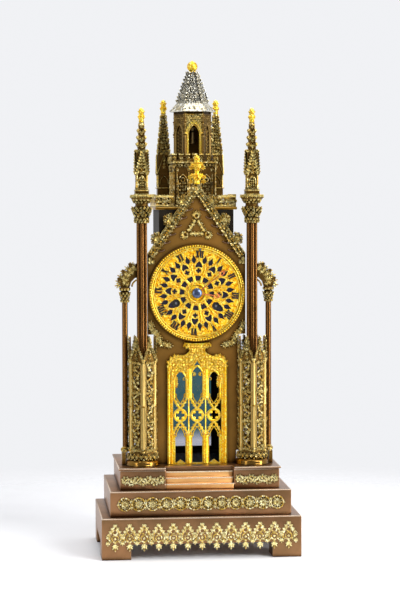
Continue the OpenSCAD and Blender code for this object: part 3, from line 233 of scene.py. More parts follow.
def smooth_profile(knots: Points, per_span: int = 6) -> np.ndarray:
    """Curve through (radius, height) knots: a cardinal spline with its ends repeated."""
    k = np.asarray(knots, float)
    k = np.concatenate([k[:1], k, k[-1:]])
    t = np.linspace(0, 1, per_span, endpoint=False)[None, :, None]
    a, b, c, d = (k[i:len(k) - 3 + i, None, :] for i in range(4))
    curve = 0.5 * (2 * b + (c - a) * t + (2 * a - 5 * b + 4 * c - d) * t**2 + (3 * b - a - 3 * c + d) * t**3)
    out = np.concatenate([curve.reshape(-1, 2), k[-1:]])
    out[:, 0] = np.maximum(out[:, 0], 0.0)
    return out


def arc(cx: float, cz: float, r: float, start: float, end: float, n: int = 12) -> np.ndarray:
    """Points of a circular arc in the XZ plane, its angles in degrees from +X towards +Z."""
    a = np.radians(np.linspace(start, end, n))
    return np.stack([cx + r * np.cos(a), cz + r * np.sin(a)], axis=-1)


def pointed(width: float, spring: float, foot: float = 0.0, n: int = 9, cx: float = 0.0) -> np.ndarray:
    """Line of a pointed arch: two arcs whose radius is the width, over upright sides."""
    left = arc(width / 2, spring, width, 180, 120, n)
    right = left[::-1] * np.array([-1.0, 1.0])
    line = np.concatenate([[[-width / 2, foot]], left, right[1:], [[width / 2, foot]]])
    return line + np.array([cx, 0.0])


def half_round(width: float, height: float, n: int = 5) -> np.ndarray:
    """Section of a bead moulding: a half ellipse on a flat foot, as (sideways, depth) pairs."""
    a = np.linspace(0, np.pi, n)
    return np.stack([-np.cos(a) * width / 2, -np.sin(a) * height], axis=-1)


def ogee(width: float, height: float) -> np.ndarray:
    """Section of a stepped moulding with a hollow and a round, as (sideways, depth) pairs."""
    s = np.array([-0.5, -0.5, -0.3, -0.18, 0.0, 0.18, 0.32, 0.5, 0.5])
    d = np.array([0.0, 0.45, 0.5, 0.85, 1.0, 0.85, 0.5, 0.42, 0.0])
    return np.stack([s * width, -d * height], axis=-1)


def moulding(path: Points, section: np.ndarray, y: float = 0.0, closed: bool = False) -> Form:
    """Carries a section along a line in the XZ plane, mitred at the corners.

    Args:
        path: points of the line, shape (n, 2), as (x, z).
        section: points of the section, shape (m, 2), as (sideways, depth); depth is added to y.
        y: depth of the plane that the moulding lies on.
        closed: whether the line closes on itself.

    Returns:
        The moulding's closed skin.
    """
    p = np.asarray(path, float)
    ahead = (np.roll(p, -1, 0) - p) if closed else np.diff(p, axis=0, append=2 * p[-1:] - p[-2:-1])
    behind = np.roll(ahead, 1, 0) if closed else np.concatenate([ahead[:1], ahead[:-1]])
    ahead = ahead / np.maximum(np.linalg.norm(ahead, axis=1, keepdims=True), 1e-9)
    behind = behind / np.maximum(np.linalg.norm(behind, axis=1, keepdims=True), 1e-9)
    tangent = ahead + behind
    tangent = tangent / np.maximum(np.linalg.norm(tangent, axis=1, keepdims=True), 1e-9)
    stretch = 1.0 / np.clip((tangent * ahead).sum(1), 0.6, 1.0)
    normal = np.stack([-tangent[:, 1], tangent[:, 0]], axis=-1) * stretch[:, None]
    side = p[:, None, :] + normal[:, None, :] * section[None, :, 0:1]
    depth = np.broadcast_to(y + section[None, :, 1], side.shape[:2])
    return grid(np.stack([side[..., 0], depth, side[..., 1]], axis=-1), closed_path=closed)


def strip(x0: float, z0: float, x1: float, z1: float, section: np.ndarray, y: float = 0.0) -> Form:
    """Straight moulding from (x0, z0) to (x1, z1), on the plane at depth y."""
    return moulding([[x0, z0], [x1, z1]], section, y)


def tube(path: Points, width: Any, depth: Any, sides: int = 8, closed: bool = False) -> Form:
    """Rounded bar along a line in space whose section is an ellipse.

    Args:
        path: points of the line, shape (n, 3).
        width: half width across the line, in the XZ plane; one number or one for each point.
        depth: half depth along Y; one number or one for each point.
        sides: facets round the bar.
        closed: whether the line closes on itself.

    Returns:
        The bar's closed skin.
    """
    p = np.asarray(path, float)
    t = (np.roll(p, -1, 0) - np.roll(p, 1, 0)) if closed else np.gradient(p, axis=0)
    t = t / np.maximum(np.linalg.norm(t, axis=1, keepdims=True), 1e-9)
    back = np.array([0.0, 1.0, 0.0])
    out = np.cross(t, back)
    out = out / np.maximum(np.linalg.norm(out, axis=1, keepdims=True), 1e-9)
    up = np.cross(out, t)
    a = np.linspace(0, 2 * np.pi, sides, endpoint=False)
    w = np.broadcast_to(np.asarray(width, float), (len(p),))[:, None, None]
    d = np.broadcast_to(np.asarray(depth, float), (len(p),))[:, None, None]
    across, rise = np.cos(a)[None, :, None] * w, np.sin(a)[None, :, None] * d
    return grid(p[:, None, :] + out[:, None, :] * across - up[:, None, :] * rise, closed_path=closed)


def flat_tube(path: Points, y: float, width: Any, depth: Any, sides: int = 8, closed: bool = False) -> Form:
    """Rounded bar along a line (x, z) in the plane at depth y."""
    p = np.asarray(path, float)
    return tube(points_at(p[:, 0], y, p[:, 1]), width, depth, sides, closed)


def ball(rx: float, ry: float, rz: float, rows: int = 5, cols: int = 8) -> Form:
    """Ellipsoid: rings at equal angles from the lower pole to the upper one."""
    a = np.linspace(-np.pi / 2, np.pi / 2, rows + 2)[1:-1, None]
    b = np.linspace(0, 2 * np.pi, cols, endpoint=False)[None, :]
    form = grid(np.stack([
        rx * np.cos(a) * np.cos(b),
        ry * np.cos(a) * np.sin(b),
        rz * np.sin(a) * np.ones_like(b),
    ], axis=-1))
    points = form.points.copy()
    points[-2], points[-1] = (0, 0, -rz), (0, 0, rz)
    return Form(points, form.quads, form.tris)


def leaf(length: float, width: float, thick: float, curl: float, lobes: float = 2.5, rows: int = 7,
         cols: int = 8) -> Form:
    """Lobed leaf that rises along Z from the origin and curls over to the front.

    The spine turns towards -Y by curl degrees, most of it near the tip. Half the width at s along the spine is
    width/2 * sin(pi s^0.8)^0.7 * (0.8 + 0.2 cos(2 pi lobes s)), and the edges stand back from the middle rib.
    """
    s = np.linspace(0.02, 0.98, rows)
    angle = np.radians(curl) * s**1.6
    step = length / (rows - 1)
    y = -np.concatenate([[0], np.cumsum(np.sin(angle[1:]) * step)])
    z = np.concatenate([[0], np.cumsum(np.cos(angle[1:]) * step)])
    half = width / 2 * np.sin(np.pi * s**0.8) ** 0.7 * (0.8 + 0.2 * np.cos(2 * np.pi * lobes * s))
    a = np.linspace(0, 2 * np.pi, cols, endpoint=False)
    across = half[:, None] * np.cos(a)[None, :]
    rise = thick / 2 * np.sin(a)[None, :] * np.sin(np.pi * s**0.7)[:, None] ** 0.5
    rise = rise + 0.22 * np.abs(across)
    pts = np.stack([
        across,
        y[:, None] + rise * np.cos(angle)[:, None],
        z[:, None] + rise * np.sin(angle)[:, None],
    ], axis=-1)
    return grid(pts)


def petal(length: float, width: float, depth: float, rows: int = 3, cols: int = 6) -> Form:
    """Rounded petal that rises along Z from the origin."""
    return ball(width / 2, depth / 2, length / 2, rows, cols).moved(0, 0, length / 2)


def frond(size: float, depth: float = 0.4, curl: float = 25.0) -> Form:
    """Five-lobed leaf with a bead at its foot, rising along Z: a long middle lobe and two shorter pairs.

    Args:
        size: length of the middle lobe; the others are 0.8 and 0.6 of it, at 38 and 82 degrees.
        depth: thickness as a part of the size.
        curl: how far each lobe tips forwards, in degrees.

    Returns:
        The leaf, centred on the plane y = 0.
    """
    parts = [ball(size * 0.2, size * depth * 0.6, size * 0.2, 3, 6)]
    for angle, part in ((0, 1.0), (38, 0.8), (-38, 0.8), (82, 0.6), (-82, 0.6)):
        lobe = petal(size * part, size * 0.3 * part, size * depth * part).turned(rot("X", curl))
        parts.append(lobe.turned(rot("Y", angle)))
    return joined(parts)


def rosette(r: float, petals: int, depth: float = 1.4) -> Form:
    """Open flower that faces the front: round petals about a bead."""
    width = 2 * math.pi * 0.62 * r / petals
    one = petal(r * 0.8, width * 0.92, depth).moved(0, 0, r * 0.2)
    around = at_places(one, np.zeros((petals, 3)), evenly(petals))
    return joined([around, ball(r * 0.26, depth * 0.7, r * 0.26, 3, 8).moved(0, -depth * 0.2, 0)])


def spiral(r0: float, r1: float, turns: float, hand: float, width: float, depth: float) -> Form:
    """Scroll in the front's plane: its radius falls evenly from r0 to r1 while it makes this many turns."""
    n = int(14 * turns) + 4
    a = np.linspace(0, 2 * np.pi * turns, n)
    r = np.linspace(r0, r1, n)
    line = np.stack([hand * r * np.cos(a), r * np.sin(a)], axis=-1)
    return flat_tube(line, -depth * 0.7, np.linspace(width, width * 0.6, n), depth, 6)


def block(x0: float, y0: float, z0: float, x1: float, y1: float, z1: float) -> Form:
    """Box between two corners, with a face on each side."""
    x, y, z = (x0, x1), (y0, y1), (z0, z1)
    points = np.array([(x[i], y[j], z[k]) for k in (0, 1) for j in (0, 1) for i in (0, 1)], float)
    quads = np.array([(0, 2, 3, 1), (4, 5, 7, 6), (0, 1, 5, 4), (2, 6, 7, 3), (0, 4, 6, 2), (1, 3, 7, 5)])
    return Form(points, quads, np.zeros((0, 3), int))


def on_faces(form: Form, angles: Sequence[float]) -> Form:
    """Copies of a form that faces the front, turned about Z by each angle."""
    k = len(angles)
    return form.repeated(rots("Z", angles), np.zeros((k, 3)))


def at_places(form: Form, places: Points | Sequence[float], turns: Any = 0.0, sizes: Any = 1.0) -> Form:
    """Copies of a form at places in space, each turned in the front's plane and scaled.

    Args:
        form: the form at the origin, facing the front.
        places: one (x, y, z) for each copy, or one for all.
        turns: clockwise turn seen from the front, in degrees; one number or one for each copy.
        sizes: scale; one number or one for each copy.

    Returns:
        One surface that holds every copy.
    """
    places, turns = np.asarray(places, float).reshape(-1, 3), np.atleast_1d(turns)
    count = max(len(places), len(turns))
    matrices = rots("Y", np.broadcast_to(turns, (count,))) * np.broadcast_to(sizes, (count,))[:, None, None]
    return form.repeated(matrices, np.broadcast_to(places, (count, 3)))


def points_at(x: Any, y: Any, z: Any) -> np.ndarray:
    """Places (x, y, z), shape (k, 3); a single number stands for a row of equal ones."""
    return np.stack(np.broadcast_arrays(x, y, z), axis=-1).astype(float)


def evenly(count: int, start: float = 0.0) -> np.ndarray:
    """Angles in degrees that part a turn evenly."""
    return np.arange(count) * 360.0 / count + start


def on_dial(form: Form) -> Form:
    """Moves a form given about the dial's centre to its place, turned as the dial is."""
    return form.turned(rot("Y", DIAL_TURN)).moved(z=DIAL_Z)


def round_dial(r: float, degrees: float) -> tuple[float, float]:
    """(x, z) on the dial at a radius and a clockwise angle from the twelve."""
    a = math.radians(degrees)
    return r * math.sin(a), r * math.cos(a)


def ring_points(r: float, y: float, degrees: Sequence[float]) -> np.ndarray:
    """Places at depth y on a circle about the origin, at clockwise angles from the top."""
    return np.array([(round_dial(r, t)[0], y, round_dial(r, t)[1]) for t in degrees])


# Finishes


def linear(code: str) -> tuple[float, float, float, float]:
    """Linear colour of an sRGB hex code."""
    s = np.array([int(code[i:i + 2], 16) for i in (1, 3, 5)]) / 255
    c = np.where(s <= 0.04045, s / 12.92, ((s + 0.055) / 1.055) ** 2.4)
    return float(c[0]), float(c[1]), float(c[2]), 1.0


def add(tree: Tree, kind: str, inputs: dict[Any, Any] | None = None, **settings: Any) -> bpy.types.Node:
    """Adds a node to a tree.

    Args:
        tree: the material's or world's node tree.
        kind: the node's type name without its ShaderNode prefix.
        inputs: value or source socket for each input, by name or number.
        settings: the node's own properties.

    Returns:
        The new node.
    """
    made = tree.nodes.new("ShaderNode" + kind)
    for key, value in settings.items():
        setattr(made, key, value)
    for key, value in (inputs or {}).items():
        if isinstance(value, Socket):
            tree.links.new(value, made.inputs[key])
        else:
            made.inputs[key].default_value = value
    return made


def per(mm: float) -> float:
    """Texture scale at which one cell of a pattern is about this many millimetres."""
    return 1.0 / (mm * MM)


def emptied(owner: bpy.types.Material | bpy.types.World) -> Tree:
    """The node tree of a new material or world, with no node in it."""
    owner.use_nodes = True
    owner.node_tree.nodes.clear()
    return owner.node_tree


def noise(tree: Tree, coords: Socket, mm: float, detail: float, rough: float = 0.5) -> Socket:
    """Noise between 0 and 1 whose cells are about mm wide."""
    inputs = {"Vector": coords, "Scale": per(mm), "Detail": detail, "Roughness": rough}
    return add(tree, "TexNoise", inputs).outputs["Fac"]


def ramp(tree: Tree, value: Socket, low: float, high: float, start: float = 0.0, end: float = 1.0,
         **settings: Any) -> Socket:
    """Carries values from low to high over to values from start to end."""
    inputs = {"Value": value, "From Min": low, "From Max": high, "To Min": start, "To Max": end}
    return add(tree, "MapRange", inputs, **settings).outputs[0]


def blend(tree: Tree, factor: Socket, first: Any, second: Any) -> Socket:
    """Mixes two colours, each a hex code or a socket."""
    first, second = (linear(v) if isinstance(v, str) else v for v in (first, second))
    return add(tree, "Mix", {"Factor": factor, 6: first, 7: second}, data_type="RGBA").outputs[2]


def bump(tree: Tree, height: Socket, strength: float, mm: float, **under: Socket) -> Socket:
    """Normal of a bumped surface; a bump that lies under it may be given as Normal."""
    inputs = {"Height": height, "Strength": strength, "Distance": mm * MM, **under}
    return add(tree, "Bump", inputs).outputs["Normal"]


def painted(name: str, draw: Callable[[Tree, Socket], dict[str, Any]]) -> bpy.types.Material:
    """Makes a material with one principled shader.

    Args:
        name: the material's name.
        draw: fills the tree from the socket of the object's coordinates and returns the shader's inputs.

    Returns:
        The new material.
    """
    made = bpy.data.materials.new(name)
    tree = emptied(made)
    shader = add(tree, "BsdfPrincipled", draw(tree, add(tree, "TexCoord").outputs["Object"]))
    add(tree, "OutputMaterial", {0: shader.outputs[0]})
    return made


@dataclass(frozen=True)
class MetalFinish:
    """A metal surface: its colour, its drift, painted shade in its recesses, its edges lightened by wear and painted
    highlight, and its grain.

    Lengths are in millimetres. Flecks are cells of another tone: the bright ones are partly painted glints and the dark
    ones partly painted shade, besides the uneven tone that mercury gilding leaves. The recesses are darkened as painted
    shade, standing partly for toning, by the part hollow, and facet is the strength of the small cuts that chasing
    leaves.
    """

    name: str
    colour: str
    drift: str
    recess: str
    edge: str
    rough: float
    grain_mm: float
    grain: float
    drift_mm: float = 22.0
    recess_mm: float = 3.0
    edge_amount: float = 0.6
    fleck: str = ""
    spot: str = ""
    fleck_mm: float = 1.3
    chased: bool = False
    streak: float = 1.0
    hollow: float = 1.0
    facet: float = 0.0

    def material(self) -> bpy.types.Material:
        """Builds the node material: drift, flecks that stand partly for painted glints and shade, painted shade in the
        recesses, edges lightened by wear and painted highlight, uneven gloss and grain.
        """
        return painted(self.name, self.draw)

    def draw(self, tree: Tree, coords: Socket) -> dict[str, Any]:
        """Fills the tree and returns the shader's inputs."""
        place = add(tree, "Mapping", {"Vector": coords, "Scale": (1.0, 1.0, self.streak)}).outputs[0]
        wide = noise(tree, place, self.drift_mm, 4.0, 0.6)
        tone = blend(tree, ramp(tree, wide, 0.38, 0.64, 0.0, 0.85), self.colour, self.drift)
        # Bright flecks stand partly for painted glints and dark spots partly for painted shade, besides the gilding's
        # uneven tone.
        if self.fleck:
            cells = add(tree, "TexVoronoi", {"Vector": coords, "Scale": per(self.fleck_mm)})
            level = add(tree, "SeparateColor", {0: cells.outputs["Color"]})
            tone = blend(tree, ramp(tree, level.outputs[0], 0.62, 0.8), tone, self.fleck)
            tone = blend(tree, ramp(tree, level.outputs[1], 0.58, 0.78, 0.0, 0.92), tone, self.spot)
        # Painted shade: the colour turns to the recess colour where the surface is hollow, standing partly for toning
        # in the hollows.
        open_to = add(tree, "AmbientOcclusion", {"Distance": self.recess_mm * MM}, samples=6).outputs["AO"]
        tone = blend(tree, ramp(tree, open_to, 0.42, 0.93, self.hollow, 0.0), tone, self.recess)
        # Painted highlight, partly wear: thin edges that are open turn to the edge colour.
        if self.edge_amount:
            thin = add(tree, "AmbientOcclusion", {"Distance": 0.7 * MM}, samples=5, inside=True).outputs["AO"]
            wear_and_highlight = ramp(tree, thin, 0.25, 0.85, self.edge_amount, 0.0)
            open_wear_and_highlight = add(tree, "Math", {0: wear_and_highlight, 1: open_to}, operation="MULTIPLY")
            tone = blend(tree, open_wear_and_highlight.outputs[0], tone, self.edge)
        fine = noise(tree, coords, self.grain_mm, 3.0, 0.65)
        height = fine
        if self.chased:
            dots = add(tree, "TexVoronoi", {"Vector": coords, "Scale": per(self.grain_mm * 1.3)}, feature="SMOOTH_F1")
            punched = add(tree, "Math", {0: fine, 1: dots.outputs["Distance"]}, operation="SUBTRACT")
            height = punched.outputs[0]
        under = {}
        if self.facet:
            cuts = add(tree, "TexVoronoi", {"Vector": coords, "Scale": per(self.fleck_mm * 1.3)})
            under["Normal"] = bump(tree, cuts.outputs["Distance"], self.facet, self.fleck_mm * 0.6)
        return {"Base Color": tone, "Metallic": 1.0,
                "Roughness": ramp(tree, fine, 0.3, 0.7, self.rough - 0.07, self.rough + 0.1),
                "Normal": bump(tree, height, self.grain, self.grain_mm * 0.35, **under)}


@dataclass(frozen=True)
class GlossFinish:
    """A smooth coat such as enamel or lacquer over metal, with a clear gloss."""

    name: str
    colour: str
    drift: str
    rough: float
    coat: float = 0.6

    def material(self) -> bpy.types.Material:
        """Builds the node material: a slight drift of colour and orange-peel bump under a clear coat."""
        return painted(self.name, self.draw)

    def draw(self, tree: Tree, coords: Socket) -> dict[str, Any]:
        """Fills the tree and returns the shader's inputs."""
        return {"Base Color": blend(tree, noise(tree, coords, 6.0, 3.0), self.colour, self.drift),
                "Roughness": self.rough, "Coat Weight": self.coat, "Coat Roughness": 0.08,
                "Normal": bump(tree, noise(tree, coords, 0.8, 2.0), 0.15, 0.1)}


@dataclass(frozen=True)
class PaneFinish:
    """Old drawn window glass: it lets light through, tinted pale grey below a set height and dark teal above it as
    painted light and shade, with faint waves.
    """

    name: str
    tint: str
    low_tint: str
    rough: float = 0.03

    def material(self) -> bpy.types.Material:
        """Builds the node material: transmission whose tint turns at a set height from pale grey to dark teal, painted
        light and shade, and a slow wave in the surface.
        """
        return painted(self.name, self.draw)

    def draw(self, tree: Tree, coords: Socket) -> dict[str, Any]:
        """Fills the tree and returns the shader's inputs."""
        height = add(tree, "SeparateXYZ", {0: coords}).outputs["Z"]
        return {"Base Color": blend(tree, ramp(tree, height, 0.128, 0.142), self.low_tint, self.tint),
                "Roughness": self.rough, "IOR": 1.5, "Transmission Weight": 1.0,
                "Normal": bump(tree, noise(tree, coords, 45.0, 1.0), 0.2, 0.4)}


class Look(Enum):
    """The finishes on the clock.

    A metal's numbers are its roughness, the size and depth of its grain, the size of its drift, the reach of its
    recesses' painted shade and the part of its edges lightened by wear and painted highlight. Flecks follow, where it
    has
    them: two colours, the bright one partly a painted glint and the dark one partly painted shade, their size, and True
    where it is punched.
    """

    # Cast bronze, patinated brown and waxed: a soft brown mirror that drifts from pink-brown to olive.
    BRONZE = MetalFinish("patinated_bronze", "#9e7450", "#826444", "#26140a", "#f4dcc0",
                         0.34, 0.6, 0.25, 38.0, 5.0, 0.8)
    # The wall plate's flatter brown: patinated, rubbed with wax and a little rougher.
    WALL = MetalFinish("patinated_wall_plate", "#a07436", "#80602e", "#241606", "#b89860",
                       0.42, 0.5, 0.3, 60.0, 6.0, 0.4)
    # The same bronze darkened on the case behind as painted shade.
    DARK = MetalFinish("case_bronze_painted_shade", "#38322a", "#2a2620", "#0c0a08", "#887c60",
                       0.62, 0.6, 0.25, 50.0, 5.0, 0.4)
    # Turned and burnished brown bronze of the column shafts: narrow lighter and darker streaks of colour along them,
    # partly burnishing marks and partly painted sheen.
    COLUMN = MetalFinish("burnished_brown_bronze", "#7c542a", "#644420", "#1c0e04", "#d8a868",
                         0.24, 0.8, 0.12, 14.0, 3.0, 0.3, streak=0.2)
    # Mercury-gilt bronze of the mounts, chased, punched and cut: bright flecks as painted glints, dark flecks and
    # recesses as painted shade, partly toning.
    ORMOLU = MetalFinish("chased_ormolu", "#d4a33c", "#a07424", "#0a0500", "#ffe890",
                         0.4, 0.7, 0.8, 5.0, 2.8, 0.65, "#fff2b0", "#2c1a04", 2.2, True, facet=0.3)
    # Yellower gilding of the friezes on the plinth.
    FRIEZE = MetalFinish("frieze_gilding", "#d8b04a", "#9c7a2c", "#0a0500", "#fff4b4",
                         0.44, 0.7, 0.8, 5.0, 2.8, 0.7, "#fffad0", "#8a6620", 1.8, True, facet=0.3)
    # The architecture's duller gilding: olive gold, its edges lightened by rubbing and painted highlight, its hollows
    # darkened by toning and painted shade.
    OLD_GILT = MetalFinish("toned_and_shaded_gilding", "#d4a446", "#a88234", "#0c0600", "#ffe89c",
                           0.44, 0.9, 0.7, 8.0, 3.0, 0.5, "#ffecac", "#3c2806", 2.0, True, facet=0.3)
    # The grounds behind the foliage: the same gilding left matt and dark, partly toning and partly painted shade
    # between the leaves.
    TONED_AND_SHADED = MetalFinish("toned_and_shaded_ground", "#6e5024", "#54401c", "#0c0600", "#d8b468",
                        0.4, 0.8, 0.5, 10.0, 4.0, 0.6)
    # Bright, fresh gilding of the portal and the finials: warm yellow, finely granulated.
    GILT = MetalFinish("bright_gilding", "#ffdf3a", "#ffcc26", "#d08c0e", "#fff37c",
                       0.36, 0.8, 0.6, 7.0, 1.6, 0.5, "#fff27c", "#f0a818", 1.3, True, hollow=0.6)
    # Matt granulated gilding of the dial's plate, flecked with orange and pale yellow.
    SANDED = MetalFinish("granulated_gilding", "#ffd22c", "#f8b01c", "#7a4606", "#fff084",
                         0.46, 0.9, 1.0, 5.0, 1.6, 0.5, "#ffec68", "#d07c0c", 1.7, True)
    # Gilding in the shade of the rim's beads.
    SHADED_GILT = MetalFinish("shaded_gilding", "#a06c18", "#7e5010", "#241202", "#f0cc6c",
                              0.42, 0.8, 0.5, 7.0, 2.4, 0.4)
    # Polished olive-gold mouldings of the slender shafts.
    BURNISHED = MetalFinish("burnished_gilding", "#9a7024", "#7c581a", "#160c02", "#ffe08c",
                            0.34, 0.6, 0.12, 10.0, 2.0, 0.5)
    # Turned mouldings of the bases, darkened in their hollows as painted shade and lightened on their rolls by wear and
    # painted highlight.
    ROLLED = MetalFinish("base_gilding_wear_and_highlight", "#a27a38", "#785622", "#0c0600", "#fff0b8",
                         0.2, 0.6, 0.15, 12.0, 5.0, 0.9)
    # Near-white painted highlight on the beads along the bronze tiers' edges and the steps' nosings.
    EDGE_HIGHLIGHT = MetalFinish("painted_edge_highlight", "#fbe6d0", "#ecccac", "#6a4c30", "#fff8ec",
                        0.24, 0.5, 0.2, 20.0, 2.0, 0.6)
    # Red gold of the hands.
    RED_GOLD = MetalFinish("red_gold", "#e06a2c", "#c8501c", "#5a2006", "#ffb878", 0.24, 0.5, 0.2, 6.0, 1.6, 0.5)
    # Copper-coloured gilding of the steps, lightened as painted light, its edges brightest as painted highlight.
    COPPER = MetalFinish("copper_gilding", "#fcc47c", "#f4b06c", "#7a4418", "#fff4d4",
                         0.42, 0.6, 0.3, 18.0, 3.0, 0.9)
    # Silvered and gilt roof casting: pale, slightly warm gold.
    ROOF = MetalFinish("silvered_gilding", "#e4d6b0", "#b0a078", "#080600", "#fffcec",
                       0.34, 0.9, 0.7, 5.0, 2.8, 0.6, "#fffffa", "#2c2818", 2.2, True, facet=0.4)
    # Hollows of the roof's casting, dark partly by toning and partly as painted shade under the scales.
    ROOF_GROUND = MetalFinish("toned_and_shaded_roof_ground", "#5c5238", "#443a22", "#0c0a02", "#d8d0b0",
                              0.4, 0.8, 0.5, 8.0, 3.0, 0.4)
    # Lacquered clock brass, grained with emery along each part.
    BRASS = MetalFinish("grained_brass", "#dab464", "#c8a054", "#4a3412", "#ffe8a8",
                        0.28, 0.35, 0.25, 16.0, 2.0, 0.4)
    # Turned bell metal, slightly grey.
    BELL = MetalFinish("turned_bell_metal", "#b89c66", "#a08450", "#3c2c14", "#e8d8a8",
                       0.3, 0.5, 0.2, 12.0, 3.0, 0.4)
    # Polished and lightly grained steel of arbors and squares.
    STEEL = MetalFinish("polished_steel", "#b4b6ba", "#96989e", "#2c2c30", "#f0f0f4",
                        0.22, 0.3, 0.12, 10.0, 1.6, 0.4)
    # Dark blue lacquer behind the rose: deep and glossy.
    NAVY = GlossFinish("dark_blue_lacquer", "#0c0a26", "#16122e", 0.25)
    # Blued steel cap over the hands' arbor.
    BLUED = MetalFinish("blued_cap", "#66748e", "#4a587c", "#0c1220", "#a8b8d0", 0.26, 0.5, 0.3, 2.0, 2.0, 0.5)
    # Matt black boards on the case's floor: painted shade for the dark inside the case.
    SHADE_LINING = GlossFinish("black_shade_lining", "#050506", "#0a0a0a", 0.7, 0.0)
    # Black vitreous enamel of the numerals.
    ENAMEL = GlossFinish("black_enamel", "#030303", "#080706", 0.55, 0.0)
    # Old greenish window glass in the rear door: dark teal higher up, partly its own tint and partly painted shade, and
    # pale grey low down as painted light.
    PANE = PaneFinish("green_window_glass", "#3c6066", "#bcbcc8")


class Paints:
    """Materials of the scene, each made once."""

    made: dict[Look, bpy.types.Material] = {}

    @classmethod
    def of(cls, look: Look) -> bpy.types.Material:
        """The material of a finish."""
        if look not in cls.made:
            cls.made[look] = look.value.material()
        return cls.made[look]


# Pieces


def piece(name: str, form: Form, look: Look, body: str = "case", node: str | Sequence[str] = (),
          crease: float = 42.0) -> bpy.types.Object:
    """Makes a mesh piece in metres that rides on a body.

    Args:
        name: the piece's name.
        form: its surface in millimetres, in the clock's frame.
        look: its finish.
        body: the body that it moves with.
        node: the CAD nodes that it stands for, if any.
        crease: edges sharper than this many degrees stay sharp.

    Returns:
        The new object, at the origin.
    """
    mesh = bpy.data.meshes.new(name)
    quads, tris = form.quads, form.tris
    corners = np.concatenate([quads.ravel(), tris.ravel()]).astype(np.int32)
    sizes = np.concatenate([np.full(len(quads), 4), np.full(len(tris), 3)]).astype(np.int32)
    starts = np.concatenate([[0], np.cumsum(sizes)[:-1]]).astype(np.int32)
    mesh.vertices.add(len(form.points))
    mesh.vertices.foreach_set("co", (form.points * MM).astype(np.float32).ravel())
    mesh.loops.add(len(corners))
    mesh.loops.foreach_set("vertex_index", corners)
    mesh.polygons.add(len(sizes))
    mesh.polygons.foreach_set("loop_start", starts)
    mesh.polygons.foreach_set("loop_total", sizes)
    mesh.polygons.foreach_set("use_smooth", np.ones(len(sizes), bool))
    mesh.update(calc_edges=True)
    mesh.validate()
    mesh.set_sharp_from_angle(angle=math.radians(crease))
    mesh.materials.append(Paints.of(look))
    made = bpy.data.objects.new(name, mesh)
    bpy.context.scene.collection.objects.link(made)
    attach(made, body)
    nodes = [node] if isinstance(node, str) else list(node)
    if nodes:
        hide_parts(*nodes)
    LOG.info("%s: %d faces", name, len(sizes))
    return made


def dress(nodes: Sequence[str], look: Look) -> None:
    """Gives CAD nodes a finish in all their material slots."""
    for name in nodes:
        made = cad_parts[name]
        if not made.data.materials:
            made.data.materials.append(Paints.of(look))
        for slot in made.material_slots:
            slot.material = Paints.of(look)
        LOG.info("%s: %s", name, look.value.name)


def softened(node: str, look: Look, width: float, body: str = "case") -> bpy.types.Object:
    """A copy of a flat-sided CAD node with small rounded edges, as a casting has after filing.

    Args:
        node: the CAD node that it stands for.
        look: its finish.
        width: width of the rounding, in millimetres.
        body: the body that it moves with.

    Returns:
        The new object, at the origin.
    """
    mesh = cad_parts[node].data.copy()
    mesh.name = node + "_cast"
    work = bmesh.new()
    work.from_mesh(mesh)
    bmesh.ops.remove_doubles(work, verts=work.verts, dist=1e-6)
    bmesh.ops.dissolve_limit(work, angle_limit=math.radians(1.0), verts=work.verts, edges=work.edges)
    work.to_mesh(mesh)
    work.free()
    mesh.materials.clear()
    mesh.materials.append(Paints.of(look))
    mesh.polygons.foreach_set("use_smooth", np.ones(len(mesh.polygons), bool))
    made = bpy.data.objects.new(mesh.name, mesh)
    bpy.context.scene.collection.objects.link(made)
    bevel = made.modifiers.new("filed_edges", "BEVEL")
    bevel.width = width * MM
    bevel.segments = 2
    bevel.limit_method = "ANGLE"
    bevel.angle_limit = math.radians(30)
    bevel.harden_normals = True
    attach(made, body)
    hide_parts(node)
    LOG.info("%s: softened", mesh.name)
    return made


# Sub-assemblies


